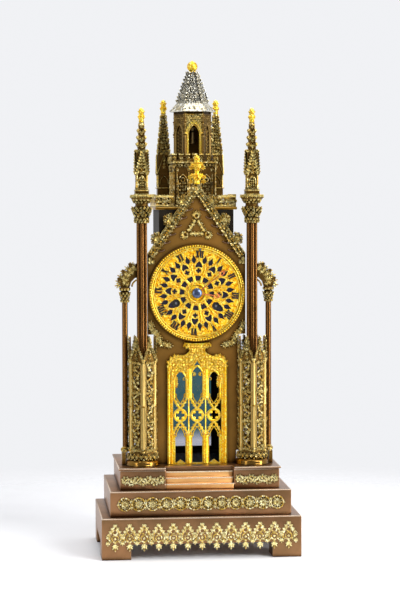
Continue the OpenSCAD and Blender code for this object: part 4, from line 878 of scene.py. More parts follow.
@dataclass
class Plinth:
    """Three tiers with their edges filed, the steps, and the gilt friezes."""

    base_h: float = 51.8
    base_front: float = -81.0
    mid_front: float = -69.7
    mid_z: float = 67.65
    block_front: float = -56.4
    block_z: float = 95.0
    motif_pitch: float = 18.1
    motif_count: int = 13
    roundel_pitch: float = 17.4
    roundel_count: int = 12
    step_count: int = STEP_COUNT
    stair_half: float = 43.4
    tiers: tuple[str, ...] = ("lower_plinth", "middle_plinth", "upper_plinth", "terrace_slab")

    def build(self) -> None:
        """Builds the tiers, the steps and the friezes."""
        for node in self.tiers:
            softened(node, Look.BRONZE, 0.7)
        softened("steps", Look.COPPER, 0.8)
        # Painted highlight: near-white beads along the steps' front edges and the tiers' upper edges.
        piece("step_nosings", self.nosings(), Look.EDGE_HIGHLIGHT)
        piece("tier_edge_lines", self.edges(), Look.EDGE_HIGHLIGHT)
        piece("lambrequin_frieze_chased", self.lambrequin(), Look.FRIEZE, node="lambrequin_frieze")
        piece("roundel_frieze_chased", self.roundels(), Look.FRIEZE, node="roundel_frieze")
        piece("scroll_mounts_chased", self.scrolls(), Look.FRIEZE, node="scroll_mounts")

    def edges(self) -> Form:
        """Rounded upper edges of the tiers, along the fronts and the sides, as beads that carry a painted highlight."""
        parts, r, inset = [], 0.8, 0.54
        for node, gap in zip(self.tiers, (0.0, 0.0, self.stair_half, self.stair_half)):
            low, high = (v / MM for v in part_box(node))
            x, back = high[0] - inset - 0.3, high[1] - inset - 0.3
            front, top = low[1] + inset + 0.3, high[2] - inset
            if node == "upper_plinth":
                top -= 0.4
            parts.append(tube([[gap, front, top], [x, front, top], [x, back, top]], r, r).both())
        return joined(parts)

    def nosings(self) -> Form:
        """A half-round bead along the front edge of each step, which carries a painted highlight."""
        low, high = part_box("steps")
        x0, x1, y0, y1 = low[0] / MM, high[0] / MM, low[1] / MM, high[1] / MM
        z0, rise = low[2] / MM, (high[2] - low[2]) / MM / self.step_count
        run = (y1 - y0) / self.step_count
        bead = turning([(0, 0), (0.55, 0.1), (0.62, 1.2), (0.62, 40)], 8, 3)
        bar = joined([bead, bead.scaled(1.0, 1.0, -1.0).moved(z=80.0)]).turned(rot("Y", 90))
        bar = bar.scaled((x1 - x0 - 0.4) / 80.0, 1.0, 1.0)
        return joined([bar.moved(x0 + 0.2, y0 + 0.62 + i * run, z0 + (i + 1) * rise - 0.7)
                       for i in range(self.step_count)])

    def motif(self) -> Form:
        """One hanging motif, its point at the origin: a steep leafy gable over two rings and a leaf drop."""
        half = np.array([[-7.0, -18.6], [-7.5, -14.6], [-6.6, -11.0], [-4.6, -7.2], [-2.4, -3.4], [0.0, 0.0]])
        arch = np.concatenate([half, half[-2::-1] * np.array([-1.0, 1.0])])
        small, mid, big = frond(3.6), frond(4.4), frond(5.8)
        parts = [
            flat_tube(arch, -0.6, 1.3, 1.2, 6),
            flat_tube(arc(0, -7.4, 3.0, 0, 345, 14), -0.7, 0.9, 1.1, 6, closed=True),
            flat_tube(arc(0, -15.8, 4.1, 0, 345, 16), -0.7, 1.0, 1.2, 6, closed=True),
            flat_tube([[0, -20.0], [0, -22.0], [0, -24.6]], -0.7, [1.4, 1.0, 1.3], 1.1, 6),
            rosette(1.7, 5, 1.2).moved(0, -0.7, -15.8),
            ball(1.1, 1.0, 1.1).moved(0, -0.8, 1.6),
            ball(1.3, 1.2, 1.3).moved(0, -0.8, -24.4),
        ]
        left = points_at(half[1:, 0] - 0.6, -0.8, half[1:, 1])
        turns = np.array([-88.0, -76.0, -64.0, -52.0, -34.0])
        parts += [at_places(small, left * [s, 1.0, 1.0], s * turns) for s in (1.0, -1.0)]
        parts.append(at_places(big, (0, -0.8, -24.4), [180, 142, -142], [1.35, 0.95, 0.95]))
        parts.append(at_places(mid, (0, -0.8, -25.0), [112, -112], 0.8))
        for s in (-1.0, 1.0):
            parts.append(flat_tube([[s * 4.2, -18.2], [s * 6.4, -20.8], [s * 8.9, -21.4]], -0.6, 0.85, 1.0, 6))
        return joined(parts).pressed(1.95)

    def lambrequin(self) -> Form:
        """The row of hanging motifs on the lowest tier, with a drop of leaves at each joint."""
        half = (self.motif_count - 1) / 2
        x = (np.arange(self.motif_count) - half) * self.motif_pitch
        top = self.base_h - 9.4
        row = at_places(self.motif(), points_at(x, self.base_front, top))
        gaps = (np.arange(self.motif_count + 1) - half - 0.5) * self.motif_pitch
        drop, fan = frond(5.2).pressed(1.1), frond(4.4).pressed(1.1)
        low = points_at(gaps, self.base_front - 0.8, top - 20.0)
        return joined([
            row, at_places(drop, low, 180.0), at_places(fan, low + [0, 0, 6.0]),
            at_places(fan, low, 132.0, 0.9), at_places(fan, low, -132.0, 0.9),
            at_places(ball(1.3, 1.1, 1.3), low + [0, 0, 1.0]),
        ])

    def roundel(self) -> Form:
        """An openwork rosette: six leaves and six beads about a flower, inside a moulded ring."""
        turns = evenly(6)
        return joined([
            flat_tube(arc(0, 0, 7.8, 0, 355, 36), -0.7, 1.15, 1.2, 6, closed=True),
            rosette(2.6, 6, 1.5).moved(0, -0.6, 0),
            at_places(frond(4.3, 0.36), ring_points(2.4, -0.5, turns), turns),
            at_places(ball(1.15, 0.9, 1.15), ring_points(5.6, -0.7, turns + 30)),
        ]).pressed(1.95)

    def roundels(self) -> Form:
        """The row of rosettes, with a leaf above and below each joint."""
        x = (np.arange(self.roundel_count) - (self.roundel_count - 1) / 2) * self.roundel_pitch
        gaps = (x[1:] + x[:-1]) / 2
        spread = frond(3.6).pressed(1.2)
        low = points_at(gaps, self.mid_front - 0.6, self.mid_z - 3.6)
        parts = [
            at_places(self.roundel(), points_at(x, self.mid_front, self.mid_z)),
            at_places(spread, low, 180.0), at_places(spread, low + [0, 0, 7.2]),
            at_places(ball(1.2, 1.1, 1.2), points_at(gaps, self.mid_front - 0.7, self.mid_z)),
        ]
        for s in (-1.0, 1.0):
            end = (s * (abs(x[-1]) + 7.8), self.mid_front - 0.6, self.mid_z)
            parts.append(at_places(spread, end, [s * 90, s * 45, s * 135], [0.8, 0.6, 0.6]))
        return joined(parts)

    def scrolls(self) -> Form:
        """Scrolling foliage on the two blocks: seven spirals on a waving stem, each wreathed in leaves."""
        leafy = frond(4.0)
        parts = []
        for i in range(7):
            x, hand = (i - 3) * 7.4, (-1.0 if i % 2 else 1.0)
            z = hand * 1.1
            curl = spiral(3.7, 0.9, 1.2, hand, 1.15, 1.2).turned(rot("Y", 35.0 * i))
            parts.append(joined([curl, ball(1.2, 1.3, 1.2).moved(0, -0.6, 0)]).moved(x, 0, z))
            around = evenly(7, 11 * i)
            parts.append(at_places(leafy, ring_points(3.4, -0.6, around) + [x, 0, z], around + 32 * hand, 0.82))
        wave = np.linspace(-25.4, 25.4, 44)
        parts.append(flat_tube(np.stack([wave, 3.0 * np.sin(wave * np.pi / 7.4)], axis=-1), -0.6, 1.0, 1.1, 6))
        for s in (-1.0, 1.0):
            parts.append(at_places(leafy, (s * 24.6, -0.6, 0.0), [s * 90, s * 40, s * 140], 0.7))
        return joined(parts).pressed(1.95).moved(71.7, self.block_front, self.block_z).both()


@dataclass
class Gable:
    """Wall plate, raking cornice with leafwork, and the mounts on the wall."""

    foot_z: float = GABLE_FOOT_Z
    apex_z: float = APEX_Z
    half: float = GABLE_HW

    @property
    def rake(self) -> float:
        """Slope of the gable's sides, in degrees."""
        return math.degrees(math.atan2(self.apex_z - self.foot_z, self.half))

    def build(self) -> None:
        """Builds the wall's mounts and cornice."""
        dress(["facade_plate"], Look.WALL)
        piece("gable_cornice_leafwork", self.cornice(), Look.ORMOLU, node="gable_cornice")
        piece("gable_cusped_lining", self.cusps(), Look.BRONZE)
        piece("trefoil_mount_chased", self.trefoil(), Look.ORMOLU, node="trefoil_mount")
        piece("corner_mounts_chased", self.corners(), Look.ORMOLU, node="corner_mounts")
        piece("gable_finial_bouquet", self.bouquet(), Look.GILT, node="gable_finial")

    def cornice(self) -> Form:
        """A beaded moulding up each rake, deep foliage on both its sides and three leafy crockets outside."""
        length = math.hypot(self.apex_z - self.foot_z, self.half)
        leafy = frond(5.6, 0.42, 30)
        along = np.arange(2.4, length - 4, 3.3)
        odd = np.arange(len(along)) % 2
        sway = 26.0 - 52.0 * odd
        parts = [
            strip(0, -4.3, length - 2.0, -4.3, half_round(9.6, 2.4, 8)),
            strip(0, -4.6, length - 4.0, -4.6, ogee(3.4, 4.4)),
            strip(0, -0.6, length - 1.2, -0.6, half_round(1.3, 3.6, 6)),
            at_places(leafy, points_at(along, -2.6, -6.4), 164.0 + sway, 0.8 + 0.22 * odd),
            at_places(leafy, points_at(along + 1.6, -3.0, -2.6), 36.0 + sway, 0.74 + 0.2 * (1 - odd)),
            at_places(ball(1.4, 1.5, 1.4, 4, 8), points_at(along, -4.0, -4.6)),
        ]
        for f in (0.2, 0.46, 0.72):
            at = np.array([f * length, -2.8, 0.6])
            fan = [-82.0, -52.0, -22.0, 8.0, 38.0, 68.0, 92.0]
            parts.append(at_places(frond(9.4, 0.36, 26), at, fan, [0.8, 0.95, 0.9, 1.05, 0.9, 0.95, 0.8]))
            parts.append(at_places(frond(6.0, 0.4, 40), at + [0, -1.6, 0.4], [-66, -34, 0, 34, 66]))
            lobes = at + [[-6.4, -1.2, 2.6], [6.6, -1.2, 3.2], [0.3, -1.4, 7.4], [-3.2, -1.6, 5.4], [3.8, -1.6, 5.8],
                          [0.0, -2.6, 1.6]]
            parts.append(at_places(rosette(2.5, 5, 2.0), lobes, [0, 20, 40, 10, 30, 50]))
        side = joined(parts).turned(rot("Y", -self.rake)).moved(-self.half, WALL_Y, self.foot_z)
        point = joined([frond(7.4, 0.4, 20), ball(2.4, 2.6, 2.4)]).moved(0, WALL_Y - 3.4, self.apex_z - 9.4)
        return joined([side.both(), point])

    def cusps(self) -> Form:
        """Cusped lining under the cornice: a row of small arches whose points stand off the rake."""
        parts = []
        for i in range(6):
            centre = 17.0 + 12.6 * i
            parts.append(flat_tube(arc(centre, -9.0, 5.9, 94, 266, 14), -0.5, 0.9, 0.9, 6))
            parts.append(ball(1.3, 1.0, 1.3).moved(centre + 6.3, -0.5, -10.2))
        return joined(parts).turned(rot("Y", -self.rake)).moved(-self.half, WALL_Y, self.foot_z).both()

    def trefoil(self) -> Form:
        """Leafy mount: a beaded triangle with a lobed ring on each corner and leaves along its sides."""
        z, leafy = FLOOR_Z + 299.6, frond(4.4, 0.4, 20)
        corners = [np.array(round_dial(r, t)) for r, t in ((15.6, 0.0), (16.6, 120.0), (16.6, 240.0))]
        parts = []
        for i, corner in enumerate(corners):
            turn = 120.0 * i
            x, dz = corner
            parts.append(flat_tube(arc(x, dz, 3.0, 0, 345, 16), -0.8, 1.2, 1.2, 6, closed=True))
            tips = [turn - 78, turn - 40, turn, turn + 40, turn + 78]
            foot = ring_points(2.9, -0.8, tips) + [x, 0, dz]
            parts.append(at_places(leafy, foot, tips, [0.9, 0.95, 1.15, 0.95, 0.9]))
            other = corners[(i + 1) % 3]
            t = np.linspace(0.2, 0.8, 9)[:, None]
            away = (corner + other) / np.linalg.norm(corner + other)
            line = corner + (other - corner) * t - 1.6 * np.sin(np.pi * t) * away
            parts.append(flat_tube(line, -0.7, 1.3, 1.2, 6))
            out = 60.0 + turn
            places = points_at(line[1::2, 0], -0.8, line[1::2, 1])
            parts.append(at_places(leafy, places, [out - 14, out + 10, out - 10, out + 14]))
            parts.append(at_places(leafy, places, [out + 170, out + 200, out + 160, out + 190], 0.8))
        return joined(parts).pressed(2.4).moved(0, WALL_Y, z)

    def corners(self) -> Form:
        """Leaf clusters that follow the corners of the wall plate, and small ones at the gable's feet."""
        line = np.array([[27.0, -13.6], [22.6, -12.6], [18.3, -11.6], [14.6, -8.6], [13.3, -3.4], [10.4, 1.8],
                         [6.8, 4.4], [4.4, 8.4], [3.4, 13.0]])
        turns = np.array([100.0, 20.0, 130.0, 10.0, 95.0, -20.0, 80.0, -30.0, 10.0])
        places = points_at(line[:, 0] - self.half, WALL_Y - 0.9, line[:, 1] + 275.8)
        leafy = frond(6.4, 0.4, 25)
        parts = [at_places(leafy, places, turns + 90.0 * j, 1.0 - 0.08 * j) for j in range(4)]
        parts.append(at_places(rosette(2.3, 5, 1.8), places + [0, -1.4, 0]))
        parts.append(at_places(rosette(2.0, 5, 1.8), (places[1:] + places[:-1]) / 2 + [0.9, -0.9, 0.9]))
        foot = np.array([[3.0, 1.4], [6.8, 1.8], [3.2, 5.6]])
        small = points_at(foot[:, 0] - self.half, WALL_Y - 0.8, foot[:, 1] + self.foot_z - 12)
        parts.append(at_places(leafy, np.repeat(small, 4, axis=0), [30, 150, -80, -150] * 3, 0.56))
        return joined(parts).both()

    def bouquet(self) -> Form:
        """Gilt finial over the gable's point: two great whorls of curled leaves with flowers, and a bud on top."""
        low, high, cup = (leaf(*sizes, lobes=3.2, rows=11)
                          for sizes in ((11.5, 9.4, 2.6, 90), (10.4, 9.0, 2.4, 90), (8.0, 6.4, 2.0, 40)))
        flower = rosette(3.4, 6, 2.6)
        whorls = (
            (low, -2.2, 2.4, SIX), (cup, -2.6, 5.4, SIX_BETWEEN), (flower, -5.6, 10.2, SIX_BETWEEN),
            (high, -2.2, 17.4, SIX), (flower.sized(0.86), -4.4, 22.6, SIX_BETWEEN), (cup, -1.6, 25.0, SIX),
            (cup.sized(0.8), -1.2, 29.6, SIX_BETWEEN),
        )
        stem = [(0, 0), (3.4, 0.5), (3.0, 6), (2.4, 14), (3.0, 20), (2.0, 27), (2.4, 33), (0.0, 37.6)]
        parts = [turning(stem, 16)] + [on_faces(form.moved(0, y, z), turns) for form, y, z, turns in whorls]
        for x, z, size in ((7.0, 3.0, 0.85), (7.6, 8.6, 0.9), (6.6, 20.6, 0.95), (4.6, 25.2, 0.8)):
            parts.append(flower.sized(size).moved(x, -2.4, z).both())
        for z, size in ((7.0, 1.0), (19.0, 1.1), (26.0, 0.9), (31.5, 0.8)):
            parts.append(flower.sized(size).moved(0, -4.6, z))
        return joined(parts).scaled(1.14, 1.0, 1.0).moved(0, WALL_Y - 6.0, self.apex_z - 3.0)


@dataclass
class Dial:
    """Gilt dial with its rose, beaded rim, numerals and hands. Radii are about its centre."""

    front: float = -21.2
    rim_r: float = 59.7
    numeral_r: float = 49.2
    numeral_h: float = 8.6

    def build(self) -> None:
        """Builds the dial's mouldings, beads, numerals and hands."""
        dress(["dial_plate"], Look.SANDED)
        dress(["dial_bezel"], Look.SHADED_GILT)
        dress(["dial_backing"], Look.NAVY)
        piece("dial_rim_beads", on_dial(self.beads()), Look.GILT)
        piece("dial_rose_ribs", on_dial(self.ribs()), Look.GILT)
        piece("hour_numerals", on_dial(self.numerals()), Look.ENAMEL, node="numerals", crease=20)
        hour = self.hand(length=31.0, width=0.8, y0=-24.0, y1=-23.4, at=94.0, ring_r=24.5)
        minute = self.hand(length=54.5, width=0.65, y0=-24.9, y1=-24.3, at=47.0, ring_r=40.0)
        piece("hour_hand_gilt", on_dial(hour), Look.RED_GOLD, "hour_works", node="hour_hand")
        piece("minute_hand_gilt", on_dial(minute), Look.RED_GOLD, "minute_works", node="minute_hand")
        # Painted shade: black collars darken the winding holes round their squares.
        piece("winding_well_shade_collars", on_dial(self.wells()), Look.ENAMEL)
        piece("minute_hand_boss", on_dial(self.boss()), Look.BLUED, "minute_works")

    def beads(self) -> Form:
        """Beads round the rim, each standing a little clear of the next, and a plain ring inside them."""
        beads = at_places(ball(1.34, 1.3, 1.34, 4, 8), ring_points(self.rim_r, WALL_Y - 4.7, evenly(116)))
        ring = moulding(arc(0, 0, 57.6, 0, 357.5, 144), half_round(1.2, 0.7, 5), WALL_Y - 4.6, closed=True)
        return joined([beads, ring])

    def ribs(self) -> Form:
        """Raised lines of the rose: spokes that part round the outer openings, arches, rings and small leaves.

        The small rings are left out at four and eight o'clock, where the winding holes are.
        """
        y = self.front
        rib, fine = half_round(1.3, 1.0, 5), half_round(0.8, 0.6, 5)
        parts = [
            moulding(arc(0, 0, 11.2, 0, 355, 72), half_round(2.8, 1.7, 6), y, closed=True),
            moulding(arc(0, 0, 54.9, 0, 357, 120), fine, y, closed=True),
        ]
        tiny = frond(2.4, 0.4, 15)
        hood = pointed(9.8, 33.2, foot=31.6, n=8)
        cup = pointed(8.4, -19.6, foot=-22.4, n=7) * np.array([1.0, -1.0])
        one = [moulding(hood[::-1], fine, y), moulding(cup, fine, y),
               strip(0, 46.4, 0, 42.6, fine, y),
               tiny.moved(0, y - 0.2, 42.6), ball(0.8, 0.8, 0.8).moved(0, y - 0.2, 15.4),
               moulding([round_dial(32.0, 15.0), round_dial(12.8, 15.0)], rib, y)]
        for turn in (13.0, 17.0):
            one.append(moulding([round_dial(37.6, turn), round_dial(32.0, 15.0)], fine, y))
        for turn in (15.0 - 9.4, 15.0 + 9.4):
            one.append(moulding([round_dial(50.4, turn), round_dial(47.6, turn)], fine, y))
        one.append(at_places(tiny, ring_points(40.2, y - 0.2, [15.0]), 15.0, 1.2))
        parts.append(at_places(joined(one), (0, 0, 0), evenly(12)))
        ring = moulding(arc(0, 28.4, 4.4, 0, 340, 18), fine, y, closed=True)
        parts.append(at_places(ring, (0, 0, 0), [30.0 * i for i in range(12) if i not in (4, 8)]))
        minutes = ring_points(53.4, y - 0.2, [6 * i for i in range(60) if i % 5])
        parts.append(at_places(ball(0.5, 0.5, 0.5, 3, 6), minutes))
        return joined(parts)

    def stroke(self, x0: float, x1: float, width: float) -> Form:
        """One stroke of a numeral from its foot at x0 to its head at x1, with its serifs."""
        h = self.numeral_h / 2
        w = width / 2
        parts = [self.prism([[x0 - w, -h], [x0 + w, -h], [x1 + w, h], [x1 - w, h]])]
        serif = max(width * 0.75, 0.85)
        for x, low, high in ((x0, -h - 0.02, -h + 0.5), (x1, h - 0.5, h + 0.02)):
            parts.append(self.prism([[x - serif, low], [x + serif, low], [x + serif, high], [x - serif, high]]))
        return joined(parts)

    def prism(self, outline: Points) -> Form:
        """A thin plate with this outline, given against the clock seen from the front, 0.45 thick."""
        x, z = np.asarray(outline, float).T
        front = points_at(x, self.front - 0.4, z)
        return grid(np.stack([front + [0.0, 0.45, 0.0], front]))

    def numeral(self, text: str) -> Form:
        """A numeral drawn from I, V and X with thick and thin strokes, upright about the origin."""
        widths = {"I": 2.8, "V": 4.5, "X": 4.7}
        total = sum(widths[c] for c in text)
        x, parts = -total / 2, []
        for c in text:
            m = x + widths[c] / 2
            if c == "I":
                parts.append(self.stroke(m, m, 2.0))
            elif c == "V":
                parts.append(self.stroke(m, m - 1.45, 2.1))
                parts.append(self.stroke(m, m + 1.45, 1.1))
            else:
                parts.append(self.stroke(m + 1.4, m - 1.4, 2.1))
                parts.append(self.stroke(m - 1.4, m + 1.4, 1.1))
            x += widths[c]
        return joined(parts)

    def numerals(self) -> Form:
        """The twelve hours, each with its foot to the centre."""
        names = ["XII", "I", "II", "III", "IIII", "V", "VI", "VII", "VIII", "IX", "X", "XI"]
        parts = []
        for i, name in enumerate(names):
            x, z = round_dial(self.numeral_r, 30 * i)
            parts.append(self.numeral(name).turned(rot("Y", 30.0 * i)).moved(x, 0, z))
        return joined(parts)

    def hand(self, length: float, width: float, y0: float, y1: float, at: float, ring_r: float) -> Form:
        """A slim gilt hand: a tapering bar with a small pierced ring near its tip and a round foot.

        Args:
            length: from the centre to the tip.
            width: half width at the middle.
            y0: its front.
            y1: its back.
            at: clockwise angle from the twelve.
            ring_r: radius of the ring's middle.

        Returns:
            The hand about the dial's centre.
        """
        y, d = (y0 + y1) / 2, (y1 - y0) / 2
        bar = flat_tube([[0, 2.6], [0, 6.0], [0, ring_r - 2.6]], y, [width * 0.8, width, width * 0.8], d)
        tip = flat_tube([[0, ring_r + 2.4], [0, (ring_r + length) / 2], [0, length]], y,
                        [width * 0.8, width * 0.55, 0.12], d)
        eye = flat_tube(arc(0, ring_r, 2.5, 0, 345, 18), y, 0.6, d, 6, closed=True)
        foot = flat_tube(arc(0, 0, 2.6, 0, 345, 20), y, 1.2, d, 8, closed=True)
        barb = leaf(3.4, 2.4, 0.5, 0, rows=5, cols=6).moved(0, y, ring_r + 2.0)
        parts = [bar, tip, eye, foot, barb]
        for s in (-1.0, 1.0):
            curl = np.array([[0, ring_r + 2.4], [s * 1.4, ring_r + 3.6], [s * 2.4, ring_r + 3.2],
                             [s * 2.2, ring_r + 2.2]])
            parts.append(flat_tube(curl, y, [0.5, 0.45, 0.4, 0.3], d * 0.9, 6))
        return joined(parts).turned(rot("Y", at))

    def wells(self) -> Form:
        """Black collars in the two winding holes, painted shade for the dark inside them, each clear of the square in
        its middle.
        """
        collar = about_y(lathe([(2.7, 0.1), (5.0, 0.1), (5.0, 1.0), (4.6, 1.3), (2.7, 0.9)], 32))
        parts = [collar.moved(s * WINDING_R * COS_30, WALL_Y - 0.1, -WINDING_R * 0.5) for s in (-1, 1)]
        return joined(parts)

    def boss(self) -> Form:
        """Domed cap over the hands' arbor with a turned edge."""
        cap = smooth_profile([(0.2, 0.3), (6.0, 0.0), (6.2, 0.6), (5.2, 1.5), (3.2, 2.4), (1.2, 2.75), (0.0, 2.8)])
        return about_y(lathe(cap, 40)).moved(0, -24.7, 0)


@dataclass
class Portal:
    """Gilt portal: mouldings, foliage, crest and the tracery of the lights."""

    front: float = WALL_Y - 5.0
    light_pitch: float = 21.5
    light_w: float = 13.2
    post_x: float = 10.75
    tracery_y: float = WALL_Y - 2.0
    ring_h: float = 62.0

    def build(self) -> None:
        """Builds the frame's finery and the tracery."""
        dress(["portal_frame"], Look.GILT)
        piece("portal_mouldings", self.mouldings().moved(z=FLOOR_Z), Look.GILT)
        piece("portal_foliage", self.foliage().moved(z=FLOOR_Z), Look.GILT)
        piece("portal_tracery_bars", self.tracery().moved(z=FLOOR_Z), Look.GILT, node="portal_tracery")

    def mouldings(self) -> Form:
        """Beads along the jambs, the heads of the lights and the mullions."""
        y = self.front
        big, fine = half_round(2.8, 1.6, 6), half_round(1.3, 1.0, 5)
        outer = np.array([[-36.1, 0.6], [-36.1, 122], [-34.6, 128], [-31.6, 132.4], [-26.4, 134.8], [-20, 134.6]])
        inner = np.array([[-32.3, 0.6], [-32.3, 112], [-31.2, 119]])
        parts = [moulding(outer, big, y).both(), moulding(inner, half_round(2.0, 1.4, 6), y).both()]
        for x in (-1, 1):
            head = pointed(self.light_w + 2.2, 117.8 - self.light_w * 0.866, foot=85, n=9, cx=x * self.light_pitch)
            parts.append(moulding(head[::-1], fine, y))
        middle = pointed(self.light_w + 2.2, 123.8 - self.light_w * 0.866, foot=85, n=9)
        parts.append(moulding(middle[::-1], fine, y))
        hood = np.array([[-6.4, 124.6], [-3.0, 129.6], [0, 134.2], [3.0, 129.6], [6.4, 124.6]])
        parts.append(moulding(hood[::-1], half_round(1.7, 1.5), y))
        for x in (-1, 1):
            for low, high in ((1.0, 36.4), (84.6, 121.0)):
                parts.append(strip(x * self.post_x, low, x * self.post_x, high, half_round(6.6, 2.2, 8), y))
                parts.append(strip(x * self.post_x, low, x * self.post_x, high, half_round(1.6, 0.9, 6), y - 2.1))
        return joined(parts)

    def foliage(self) -> Form:
        """Leafwork over the heads, the shoulders and the crest, with scrolls at the crest's ends."""
        rng = np.random.default_rng(5)
        y = self.front - 0.5
        leafy = frond(4.2, 0.4, 18)
        spots = []
        for x in np.arange(-33, 34, 3.3):
            top = 133.6 if abs(x) > 22 else 136.5 + (1 - abs(x) / 22) * 4
            low = 121.0 if abs(x) > 12 else 127.0 + (8.0 if abs(x) < 4 else 0.0)
            for z in np.arange(low, top, 3.1):
                spots.append((x + rng.uniform(-0.5, 0.5), y, z + rng.uniform(-0.5, 0.5)))
        for z in np.arange(103, 122, 3.2):
            spots += [(s * (31.2 + rng.uniform(-0.6, 0.6)), y, z) for s in (-1, 1)]
        for z, w in ((140.6, 9), (143.8, 6.4), (146.8, 8.5), (150.0, 13)):
            for x in np.arange(-w, w + 0.1, 3.1):
                spots.append((x, y, z + rng.uniform(-0.5, 0.5)))
        spots = np.array(spots)
        turns = rng.uniform(-180, 180, len(spots))
        parts = [at_places(leafy, spots, turns, rng.uniform(0.8, 1.1, len(spots)))]
        for s in (-1, 1):
            curl = spiral(3.6, 0.8, 1.2, s, 1.1, 1.2).turned(rot("Y", s * 20.0)).moved(s * 13.6, self.front, 150.6)
            neck = np.array([[s * 9.8, 142.5], [s * 8.8, 145.5], [s * 10.8, 148.6], [s * 13.6, 153.6]])
            shoulder = np.array([[s * 37.0, 125.5], [s * 35.4, 131.0], [s * 30.5, 135.6], [s * 25.0, 137.0],
                                 [s * 19.0, 136.8]])
            parts += [curl, flat_tube(neck, self.front - 0.3, 1.0, 1.1, 6)]
            parts.append(flat_tube(shoulder, self.front - 0.3, 1.1, 1.2, 6))
            x, z, turn = np.array([[36.9, 124.5, 70], [36.2, 129.5, 48], [32.5, 134.5, 28], [28.5, 136.6, 12],
                                   [24.5, 137.2, -12]]).T
            parts.append(at_places(frond(5.0, 0.36, 20), points_at(s * x, y, z), s * turn, [0.6, 0.86, 0.9, 1.0, 0.7]))
            bulge = points_at(s * (self.light_pitch + 5.6), self.front + 0.4, (99.5, 103.0, 106.6, 109.8))
            parts.append(at_places(rosette(3.3, 5, 2.6), bulge, [0, 30, 60, 90], [0.8, 1.0, 0.95, 0.75]))
        for x in (-1, 1):
            foot = (x * self.light_pitch, self.front + 1.0, 1.0)
            parts.append(at_places(frond(4.6, 0.36, 12), foot, [-70, -40, 0, 40, 70], [0.9, 0.9, 1.1, 0.9, 0.9]))
        for s in (-1, 1):
            cusp = arc(s * 4.2, 114.6, 2.0, 90 - s * 30, 90 + s * 220, 14)
            parts.append(flat_tube(cusp, self.front + 1.2, 0.85, 1.2, 6))
            parts.append(ball(1.0, 1.0, 1.0).moved(s * 4.2, self.front + 1.0, 114.6))
            cusp = arc(-s * self.light_pitch + s * 4.9, 108.4, 1.5, 90 - s * 30, 90 + s * 200, 12)
            parts.append(flat_tube(cusp, self.front + 1.2, 0.7, 1.1, 6))
        return joined(parts)

    def arm(self, sign: float) -> Form:
        """One curved arm of a light's tracery, from the ring up (sign 1) or down (sign -1), with leaves along it."""
        y, z = self.tracery_y, self.ring_h + sign * np.array([8.2, 11.8, 16.6, 21.4, 24.6])
        line = np.stack([[0.4, 2.6, 5.6, 8.2, 8.4], z], axis=-1)
        curl = arc(7.0, self.ring_h + sign * 25.6, 1.9, -sign * 30, sign * 200, 10)
        inner = np.stack([[0.0, 2.0, 4.2, 5.6], self.ring_h + sign * np.array([14.2, 17.4, 21.0, 25.4])], axis=-1)
        feet = np.array([[3.6, y, z[1]], [6.0, y, z[2] - sign], [8.4, y, z[3] - sign]])
        turn = 52.0 if sign > 0 else 128.0
        return joined([
            flat_tube(line, y, [1.5, 1.6, 1.5, 1.4, 1.1], 1.0),
            flat_tube(curl, y, 0.9, 0.9, 6),
            flat_tube(inner, y, 0.75, 0.9, 6),
            at_places(frond(2.9, 0.36, 0), feet, turn + 26.0 * sign, [0.8, 0.9, 0.8]),
            at_places(frond(2.9, 0.36, 0), feet - [1.8, 0, -sign * 2.2], -turn + 30.0 * sign, 0.7),
        ])

    def tracery(self) -> Form:
        """Rounded bars: slim mullions, and in each light two leafy arms above and below a ring with four cusps."""
        y, depth = self.tracery_y, 1.0
        posts = [flat_tube([[x, 36.6], [x, 60.0], [x, 84.4]], y, 0.85, depth, 8) for x in (-self.post_x, self.post_x)]
        light = [flat_tube(arc(0, self.ring_h, 7.3, 0, 350, 30), y, 1.7, depth, 8, closed=True),
                 flat_tube(arc(0, self.ring_h, 8.6, 0, 350, 30), y - 0.5, 0.5, 0.6, 6, closed=True),
                 self.arm(1.0).both(), self.arm(-1.0).both()]
        light.append(at_places(ball(1.9, 0.9, 1.9, 4, 8), ring_points(4.9, y, FOUR_BETWEEN) + [0, 0, self.ring_h]))
        for s in (-1, 1):
            light.append(flat_tube([[s * 8.6, self.ring_h], [s * 10.2, self.ring_h]], y, 1.0, depth, 6))
        places = points_at(self.light_pitch * np.arange(-1, 2), 0, 0)
        return joined(posts + [at_places(joined(light), places)])


